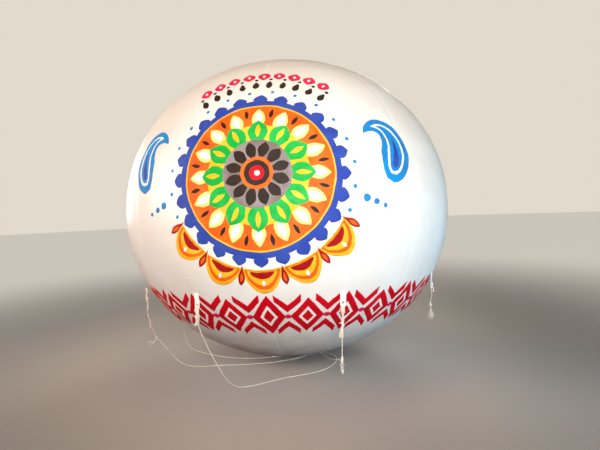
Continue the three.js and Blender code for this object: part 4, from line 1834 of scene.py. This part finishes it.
@dataclass
class FillerNeck:
    """The filling sleeve under the envelope at the back: a flange, a gathered sleeve and its tie.

    A flange row is its radius and its lift as a share. A level is how far it is below the flange, its share
    of pleat, and the sleeve's radius there.
    """

    shape: EnvelopeShape
    station: Station
    ropes: RopeWork
    sleeve_radius: float = 0.034
    tie_drop: float = 0.095
    cloth: float = 0.0008
    lift: float = 0.0016
    around: int = 120
    flange: tuple[Row, ...] = (
        (0.075, 0.0001), (0.0742, 0.8), (0.072, 1.0), (0.06, 1.0), (0.048, 1.0), (0.040, 1.2),
    )
    levels: tuple[Row, ...] = (
        (0.004, 0.0, 0.036), (0.010, 0.02, 0.0345), (0.022, 0.08, 0.034), (0.038, 0.2, 0.0325),
        (0.052, 0.4, 0.029), (0.066, 0.7, 0.0235), (0.078, 0.9, 0.0175), (0.087, 1.0, 0.0132),
        (0.093, 1.0, 0.0116), (0.098, 1.0, 0.0116), (0.105, 1.0, 0.0138), (0.116, 0.95, 0.0185),
        (0.130, 0.85, 0.0235), (0.146, 0.75, 0.0275), (0.158, 0.65, 0.0300), (0.165, 0.6, 0.0315),
    )
    middle: Vector = field(init=False)
    tied_level: float = field(init=False)

    def __post_init__(self) -> None:
        """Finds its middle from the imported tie."""
        low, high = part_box("neck_tie")
        self.middle = (low + high) / 2

    def on_skin(self, offsets: np.ndarray, lift: float) -> np.ndarray:
        """Points on the skin above or beside the neck's middle, given as X and Y from it.

        Args:
            offsets: X and Y from the neck's middle.
            lift: How far above the skin they lie.

        Returns:
            The points in the frame.
        """
        across, along = self.middle.x + offsets[..., 0], self.middle.y + offsets[..., 1]
        slope = -self.shape.slope_at(np.hypot(across, along))
        return self.shape.point(np.arctan2(across, -along), slope, lift)

    def sleeve(self) -> None:
        """Makes the flange and the sleeve as one cloth."""
        turns = full_turn(self.around)
        way = stacked(np.cos(turns), np.sin(turns))
        rows = [self.on_skin(way * reach, lift * self.lift) for reach, lift in self.flange]
        top = self.on_skin(way * self.sleeve_radius, 0.0)[:, 2]
        level = float(top.mean())
        pleats = 0.55 * np.sin(11 * turns + 0.6 * np.sin(2 * turns)) + 0.45 * np.sin(17 * turns + 1.7)
        for down, folded, radius in self.levels:
            keep = max(0.0, 1 - down / 0.03)
            reach = radius * (1 + 0.20 * folded * pleats + 0.05 * np.sin(3 * turns + 40 * down))
            height = level - down + (top - level) * keep
            sway = 0.003 * math.sin(down * 26)
            across, along = self.middle.x + sway + reach * way[:, 0], self.middle.y + reach * way[:, 1]
            rows.append(stacked(across, along, height))
        outer = np.array(rows)
        inner = outer.copy()
        centre = np.array([self.middle.x, self.middle.y])
        hung = len(self.flange)
        toward = outer[hung:, :, :2] - centre
        thin = 1 - 2 * self.cloth / np.linalg.norm(toward, axis=-1, keepdims=True)
        inner[hung:, :, :2] = centre + toward * thin
        inner[:hung, :, 2] += 0.002
        body = ring_body(np.concatenate([outer, inner[::-1]]))
        made = add_object("neck_sleeve", body, [NECK_CLOTH])
        seat(made, ENVELOPE_BODY, "tape", "filler_neck")
        self.tied_level = level - self.tie_drop

    def tie(self) -> None:
        """Makes the cord that is wound round the sleeve's waist, with its two ends."""
        turns = np.linspace(0, 2 * np.pi * 5, 5 * 24)
        reach = 0.0155 + 0.0009 * np.sin(2.3 * turns)
        rise = self.tied_level + 0.007 - 0.0028 * turns / (2 * np.pi)
        across, along = self.middle.x + reach * np.cos(turns), self.middle.y + reach * np.sin(turns)
        wound = stacked(across, along, rise)
        knot = (
            (17, 0, -2), (21, 4, -3), (24, 0, 1), (21, -4, 3), (19, 1, 2), (23, 3, 6), (27, 0, 16),
            (27, -3, 34), (28, -4, 58),
        )
        other = ((18, 2, 0), (22, -3, -3), (25, 2, 0), (22, 5, 4), (22, 8, 16), (21, 9, 42))
        spot = self.station.at((self.middle.x, self.middle.y, self.tied_level))
        made = self.ropes.lines("neck_cord", [wound, spot.run(knot, 2.0), spot.run(other, 2.0)], 0.62)
        seat(made, ENVELOPE_BODY, "rope", "neck_tie")

    def build(self) -> None:
        """Makes the neck."""
        self.sleeve()
        self.tie()


class Side(Enum):
    """A painted side, with the azimuth in degrees that it faces."""

    FRONT = 0.0
    BACK = 180.0


@dataclass(frozen=True)
class Motif:
    """One painted shape: its colour and its outline on the plane of its map."""

    paint: Paint
    outline: np.ndarray


def disc(radius: float, centre: Row = (0.0, 0.0), steps: int = 72) -> np.ndarray:
    """A round outline."""
    turns = full_turn(steps)
    return stacked(centre[0] + radius * np.cos(turns), centre[1] + radius * np.sin(turns))


def leaf(
    bearing: float, start: float, end: float, width: float, belly: float = 0.5, steps: int = 9
) -> np.ndarray:
    """A pointed leaf that runs outwards on a bearing.

    Args:
        bearing: Its direction in degrees, 0 upwards and 90 to the right.
        start: Where it starts, from the plane's middle.
        end: Where it ends.
        width: Its greatest width.
        belly: The share of its length where it is widest.
        steps: Points on a side.

    Returns:
        Its outline, counter-clockwise.
    """
    share = np.linspace(0, 1, steps + 1)
    power = math.log(0.5) / math.log(belly)
    half = width / 2 * np.sin(np.pi * share**power) ** 0.85
    along = start + (end - start) * share
    right = stacked(half, along)
    left = stacked(-half[-2:0:-1], along[-2:0:-1])
    return turned(np.vstack([right, left]), bearing)


def turned(outline: np.ndarray, bearing: float, centre: Row = (0.0, 0.0)) -> np.ndarray:
    """An outline turned clockwise by a bearing in degrees, and then moved.

    Args:
        outline: The outline.
        bearing: The turn in degrees.
        centre: Where its middle goes.

    Returns:
        The outline, as points by 2.
    """
    angle = math.radians(bearing)
    across = outline[:, 0] * math.cos(angle) + outline[:, 1] * math.sin(angle)
    upwards = outline[:, 1] * math.cos(angle) - outline[:, 0] * math.sin(angle)
    return stacked(across + centre[0], upwards + centre[1])


def petals(paint: Paint, bearings: Sequence[float], *sizes: float) -> list[Motif]:
    """Leaves of one colour and size, one on each bearing."""
    return [Motif(paint, leaf(bearing, *sizes)) for bearing in bearings]


def paisley(size: float, slim: float, first: float, last: float) -> np.ndarray:
    """A curled drop: a round head below, and a tip that curls up and over.

    Args:
        size: Its height.
        slim: Its width, as a share of the full one.
        first: Where on its middle line it starts, from 0 at the head.
        last: Where it ends, up to 1 at the tip.

    Returns:
        Its outline.
    """
    share = np.linspace(first, last, 30)
    curl = np.radians(-58 + 205 * share)
    reach = size * (0.42 - 0.16 * share)
    line = stacked(-reach * np.cos(curl), reach * np.sin(curl) * 1.25)
    own = (share - first) / (last - first)
    head = np.sqrt(np.clip(1 - (1 - own / 0.30) ** 2, 0, 1))
    half = size * 0.22 * slim * np.where(own < 0.30, head, np.clip(1 - (own - 0.30) / 0.70, 0, 1) ** 0.8)
    ahead = np.gradient(line, axis=0)
    normal = stacked(ahead[:, 1], -ahead[:, 0]) / np.linalg.norm(ahead, axis=-1, keepdims=True)
    return np.vstack([line + normal * half[:, None], (line - normal * half[:, None])[-2:0:-1]])


def counter_clockwise(outline: np.ndarray) -> np.ndarray:
    """An outline, turned round where it runs clockwise.

    Args:
        outline: The outline.

    Returns:
        The outline, as points by 2.
    """
    after = np.roll(outline, -1, axis=0)
    area = np.sum(outline[:, 0] * after[:, 1] - after[:, 0] * outline[:, 1])
    return outline if area > 0 else outline[::-1]


@dataclass
class SignPainting:
    """A folk rosette, curled drops, bunting and a red frieze, painted on the front and on the back."""

    shape: EnvelopeShape
    lift: float = 0.0009
    sunk: float = 0.0005
    pitch: float = 0.018
    wobble: float = 0.0022
    centre: float = 10.0
    frieze_steepness: float = -32.5
    frieze_half: float = 0.290
    frieze_step: float = 0.335

    def on_disc(self, side: Side, flat: np.ndarray) -> tuple[np.ndarray, np.ndarray]:
        """Lays a plane on the skin round the middle of the rosette.

        Args:
            side: The side that is painted.
            flat: Points of the plane.

        Returns:
            Their azimuths and steepnesses in radians.
        """
        up = math.radians(self.centre)
        reach = np.hypot(flat[:, 0], flat[:, 1])
        angle = reach / self.shape.equator
        share = np.where(reach > 1e-9, np.sin(angle) / np.maximum(reach, 1e-9), 1 / self.shape.equator)
        right, high = flat[:, 0] * share, flat[:, 1] * share
        ahead = np.cos(angle)
        front = ahead * math.cos(up) - high * math.sin(up)
        level = ahead * math.sin(up) + high * math.cos(up)
        slope = level / np.hypot(right, front)
        full = np.where(slope > 0, self.shape.crown, self.shape.base)
        power = self.shape.fullness / 2
        steepness = np.arctan((np.abs(slope) * self.shape.equator / full) ** power) * np.sign(slope)
        return np.arctan2(right, front) + math.radians(side.value), steepness

    def on_band(self, side: Side, flat: np.ndarray) -> tuple[np.ndarray, np.ndarray]:
        """Lays a long band round the skin at the frieze's height.

        Args:
            side: The side that is painted.
            flat: Points of the band.

        Returns:
            Their azimuths and steepnesses in radians.
        """
        middle = math.radians(self.frieze_steepness)
        radius = float(self.shape.profile(np.array(middle))[0])
        return math.radians(side.value) + flat[:, 0] / radius, middle + flat[:, 1] / self.shape.equator

    def film(self, name: str, motifs: list[Motif], placed: Placing, seed: int) -> None:
        """Lays painted shapes on the skin as one closed film, the later shapes over the earlier.

        Args:
            name: The piece's name.
            motifs: The shapes in the order in which they are painted.
            placed: The map from their plane to the skin.
            seed: The seed of the brush's wobble.
        """
        phase = np.random.default_rng(seed).uniform(0, 2 * np.pi, 6)
        outlines = []
        for motif in motifs:
            outline = counter_clockwise(motif.outline)
            across, along = outline.T
            right = np.sin(31 * across + 17 * along + phase[0])
            right = right + 0.6 * np.sin(83 * along - 41 * across + phase[1])
            up = np.sin(29 * along - 19 * across + phase[2])
            up = up + 0.6 * np.sin(79 * across + 47 * along + phase[3])
            outlines.append(outline + self.wobble * stacked(right, up))
        flat, faces, origins = triangulated(outlines, 0.0, self.pitch, 1e-6)
        kept = [face for face, origin in zip(faces, origins) if origin]
        paints = [motifs[max(origin)].paint for origin in origins if origin]
        order = list(dict.fromkeys(paints))
        slots = [order.index(paint) for paint in paints]

        def laid(lift: float) -> Callable[[np.ndarray], np.ndarray]:
            """A function that puts flat points that far above the skin."""
            return lambda spots: self.shape.point(*placed(spots), lift)

        data = closed_film(flat, kept, laid(self.lift), laid(-self.sunk), slots)
        made = add_object(name, data, [paint.value for paint in order])
        seat(made, ENVELOPE_BODY, "skin")

    def rosette(self) -> list[Motif]:
        """The round design in the middle.

        Returns:
            Its shapes, in the order of painting.
        """
        motifs = [Motif(Paint.SKY, disc(0.017, (0.81 * math.sin(a), 0.81 * math.cos(a)), 14))
                  for a in np.radians(np.arange(-112.5, 113, 15))]
        motifs += petals(Paint.BLUE, range(0, 360, 15), 0.66, 0.775, 0.125, 0.45)
        motifs += [Motif(Paint.BLUE, disc(0.695, steps=110)), Motif(Paint.GOLD, disc(0.640))]
        motifs.append(Motif(Paint.ORANGE, disc(0.625)))
        for bearing in np.arange(0, 360, 22.5):
            motifs.append(Motif(Paint.CREAM, leaf(bearing, 0.38, 0.600, 0.120)))
            motifs.append(Motif(Paint.WHITE, leaf(bearing, 0.43, 0.570, 0.062)))
            motifs.append(Motif(Paint.DARK, leaf(bearing + 11.25, 0.50, 0.600, 0.034)))
        motifs.append(Motif(Paint.GOLD, disc(0.425)))
        motifs += petals(Paint.GREEN, range(0, 360, 30), 0.20, 0.475, 0.170, 0.6)
        motifs += petals(Paint.GOLD, range(0, 360, 30), 0.31, 0.440, 0.040)
        motifs.append(Motif(Paint.GREY, disc(0.285)))
        motifs += petals(Paint.DARK, range(15, 360, 30), 0.10, 0.270, 0.090, 0.6)
        motifs += [Motif(Paint.ORANGE, disc(0.135)), Motif(Paint.DARK, disc(0.105))]
        motifs += [Motif(Paint.RED, disc(0.060)), Motif(Paint.WHITE, disc(0.022, steps=16))]
        return motifs

    def crest(self) -> list[Motif]:
        """The two arcs above the rosette.

        Returns:
            Its shapes, in the order of painting.
        """
        motifs = []
        for bearing in np.arange(-32, 33, 8):
            motifs.append(Motif(Paint.CRIMSON, leaf(bearing, 1.015, 1.155, 0.124)))
            motifs.append(Motif(Paint.WHITE, leaf(bearing, 1.060, 1.110, 0.030)))
        for bearing in np.arange(-36, 37, 8):
            motifs.append(Motif(Paint.DARK, leaf(bearing, 0.872, 0.985, 0.062, 0.4)))
            turn = math.radians(bearing)
            motifs.append(Motif(Paint.DARK, disc(0.017, (1.02 * math.sin(turn), 1.02 * math.cos(turn)), 14)))
        return motifs

    def drops(self) -> list[Motif]:
        """The curled drops at both sides.

        Returns:
            Their shapes, in the order of painting.
        """
        motifs = []
        for side in (-1, 1):
            for paint, slim, first, last in (
                (Paint.SKY, 1.25, 0.0, 1.0), (Paint.WHITE, 0.74, 0.07, 0.82), (Paint.SKY, 0.56, 0.10, 0.74),
                (Paint.BLUE, 0.26, 0.14, 0.46),
            ):
                outline = paisley(0.60, slim, first, last) * (-side, 1)
                motifs.append(Motif(paint, turned(outline, side * 8.0, (side * 1.02, 0.27))))
            for order, size in enumerate((0.034, 0.027, 0.020)):
                centre = (side * (0.91 + 0.09 * order), -0.20 - 0.03 * order)
                motifs.append(Motif(Paint.SKY, disc(size, centre, 18)))
        return motifs

    def bunting(self) -> list[Motif]:
        """The golden swags below the rosette.

        Returns:
            Their shapes, in the order of painting.
        """
        motifs = []
        ends = np.linspace(-62, 62, 6)
        for first, last in zip(ends, ends[1:]):
            middle = (first + last) / 2
            for paint, inside, deep, narrow in (
                (Paint.GOLD, 0.790, 0.215, 0.0), (Paint.ORANGE, 0.800, 0.165, 1.6),
                (Paint.GOLD, 0.808, 0.120, 3.4), (Paint.MAROON, 0.812, 0.055, 5.0),
            ):
                bearings = np.radians(180 + np.linspace(first + narrow, last - narrow, 19))
                share = np.linspace(0, 1, 19)
                inner = np.full(19, inside)
                outer = inside + 0.012 + deep * np.sin(np.pi * share) ** 0.8
                rim = np.concatenate([inner, outer[::-1]])
                turns = np.concatenate([bearings, bearings[::-1]])
                motifs.append(Motif(paint, stacked(rim * np.sin(turns), rim * np.cos(turns))))
            motifs.append(Motif(Paint.WHITE, leaf(180 + middle, 0.890, 0.950, 0.030)))
        for bearing in ends:
            motifs.append(Motif(Paint.MAROON, leaf(180 + bearing, 0.760, 0.955, 0.060, 0.65)))
            motifs.append(Motif(Paint.ORANGE, leaf(180 + bearing, 0.835, 0.925, 0.026)))
        return motifs

    def frieze(self) -> list[Motif]:
        """The red band below, of lozenges and chevrons.

        Returns:
            Its shapes, in the order of painting.
        """
        motifs = []
        step, half = self.frieze_step, self.frieze_half
        rising = np.array([(0.0, 0.068), (0.122, 0.226), (0.122, 0.322)])
        falling = np.array([(0.0, 0.172), (-0.122, 0.322), (-0.122, 0.226)])
        chevron = np.vstack([rising, falling])
        for index in range(-6, 7):
            centre = index * step
            high = half * (0.92 if index % 2 == 0 else 0.8)
            for paint, wide, tall in (
                (Paint.RED, 0.146, high), (Paint.WHITE, 0.078, high * 0.53), (Paint.RED, 0.050, high * 0.34),
            ):
                lozenge = np.array([(centre - wide, 0), (centre, -tall), (centre + wide, 0), (centre, tall)])
                motifs.append(Motif(paint, finer(lozenge, 0.03)))
            if index < 6:
                between = centre + step / 2
                for side in (-1, 1):
                    outline = chevron * (0.9, side * 0.85) + (between, 0)
                    motifs.append(Motif(Paint.RED, finer(outline, 0.03)))
                motifs.append(Motif(Paint.CRIMSON, finer(disc(0.030, (between, 0.0), 14), 0.03)))
        return motifs

    def build(self) -> None:
        """Paints the front and the back."""
        discs = {"rosette": self.rosette, "crest": self.crest, "drops": self.drops, "bunting": self.bunting}
        for side in Side:
            name = side.name.lower()
            for seed, (design, motifs) in enumerate(discs.items(), 3):
                self.film(f"painted_{design}_{name}", motifs(), partial(self.on_disc, side), seed)
            self.film(f"painted_frieze_{name}", self.frieze(), partial(self.on_band, side), 7)


def finer(outline: np.ndarray, step: float) -> np.ndarray:
    """An outline with more points on its straight sides.

    Args:
        outline: The outline.
        step: The distance between its points.

    Returns:
        The outline, as points by 2.
    """
    points = []
    for here, there in zip(outline, np.roll(outline, -1, axis=0)):
        count = max(1, round(float(np.linalg.norm(there - here)) / step))
        points += [here + (there - here) * k / count for k in range(count)]
    return np.array(points)


@dataclass(frozen=True)
class Viewpoint:
    """Where the picture is taken from, and how the camera is held."""

    location: Point = (0.6936, -5.1118, 0.010)
    turned_left: float = 6.3
    pitched_down: float = 2.07
    rolled: float = -2.3
    focal_px: float = 423.0
    frame_px: float = 600.0
    sensor: float = 36.0

    def add(self) -> None:
        """Makes the camera and gives it to the scene."""
        yaw, pitch, roll = map(math.radians, (self.turned_left, self.pitched_down, self.rolled))
        ahead = math.cos(pitch)
        forward = Vector((-math.sin(yaw) * ahead, math.cos(yaw) * ahead, -math.sin(pitch)))
        level = Vector((math.cos(yaw), math.sin(yaw), 0.0))
        upright = level.cross(forward)
        right = math.cos(roll) * level + math.sin(roll) * upright
        up = -math.sin(roll) * level + math.cos(roll) * upright
        camera = linked("camera", bpy.data.cameras.new("camera"))
        camera.data.sensor_width = self.sensor
        camera.data.lens = self.sensor * self.focal_px / self.frame_px
        held = Matrix((right, up, -forward)).transposed().to_4x4()
        camera.matrix_world = Matrix.Translation(self.location) @ held
        bpy.context.scene.camera = camera


@dataclass(frozen=True)
class AreaLight:
    """A soft square light."""

    name: str
    location: Point
    target: Point
    size: float
    watts: float
    colour: Point
    spread: float

    def add(self) -> None:
        """Makes the light, unseen by the camera."""
        data = bpy.data.lights.new(self.name, "AREA")
        data.size = self.size
        data.energy = self.watts
        data.color = self.colour
        data.spread = math.radians(self.spread)
        made = linked(self.name, data)
        made.location = self.location
        way = Vector(self.target) - Vector(self.location)
        made.rotation_euler = way.to_track_quat("-Z", "Y").to_euler()
        made.visible_camera = False


LIGHTS = (
    AreaLight("doorway_light", (1.7, -7.2, 1.5), (0.4, 0.0, 0.3), 3.0, 37.0, (1.0, 0.95, 0.9), 34.0),
    AreaLight("front_fill_light", (-2.4, -7.0, 0.8), (-0.2, 0.0, 0.2), 3.4, 4.0, (1.0, 0.95, 0.92), 60.0),
    AreaLight("low_front_light", (0.9, -6.6, 2.2), (0.1, -1.6, -1.1), 1.6, 12.0, (1.0, 0.96, 0.92), 44.0),
    AreaLight("warm_side_light", (-6.4, -2.6, 1.6), (-0.4, 0.0, 0.2), 3.0, 54.0, (1.0, 0.78, 0.68), 60.0),
    AreaLight("cool_low_light", (5.2, -3.4, -0.9), (1.2, 0.0, -0.5), 1.4, 19.0, (0.44, 0.74, 1.0), 60.0),
    AreaLight("ceiling_light", (0.4, -0.6, 5.6), (0.0, 0.0, 0.0), 3.6, 12.0, (1.0, 0.66, 0.34), 50.0),
    AreaLight("back_light", (1.4, 7.4, 2.6), (0.0, 0.0, 0.1), 3.4, 50.0, (1.0, 0.94, 0.86), 60.0),
    AreaLight("back_side_light", (-6.8, 4.4, 1.4), (0.0, 0.0, 0.0), 3.0, 26.0, (1.0, 0.92, 0.84), 60.0),
)


@dataclass(frozen=True)
class Studio:
    """The plain pale floor, the lights and the air round the balloon."""

    floor_radius: float = 60.0
    backdrop: Row = linear(226, 218, 204)
    ambient: Row = (0.09, 0.088, 0.085, 1.0)
    lights: tuple[AreaLight, ...] = LIGHTS

    def build(self) -> None:
        """Adds the floor, the lights and the surroundings."""
        around = full_turn(96)
        rim = stacked(np.cos(around) * self.floor_radius, np.sin(around) * self.floor_radius, FLOOR_LEVEL)
        floor = add_object("floor", MeshData(rim, [tuple(range(len(rim)))]), [FLOOR])
        for light in self.lights:
            light.add()
        world = bpy.data.worlds.new("studio")
        world.use_nodes = True
        graph = Graph(world.node_tree)
        seen = graph.node("ShaderNodeLightPath")["Is Camera Ray"]
        colour = graph.mix(seen, self.ambient, self.backdrop)
        background = graph.node("ShaderNodeBackground", {"Color": colour})
        graph.node("ShaderNodeOutputWorld", {"Surface": background["Background"]})
        bpy.context.scene.world = world
        bpy.context.scene.view_settings.view_transform = "Standard"


def main() -> None:
    """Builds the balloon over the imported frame."""
    logging.basicConfig(level=logging.INFO, format="%(name)s: %(message)s")
    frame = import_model()
    Viewpoint().add()
    Studio().build()
    shape = EnvelopeShape()
    Envelope(shape).build()
    places = stations(frame["joints"])
    rigging = Rigging(places)
    rigging.build()
    stitches = stitch_pattern()
    for place in places:
        LoadTab(shape, place, stitches).build()
    FillerNeck(shape, rigging.places[NECK_STATION], rigging).build()
    SignPainting(shape).build()


if __name__ == "__main__":
    main()
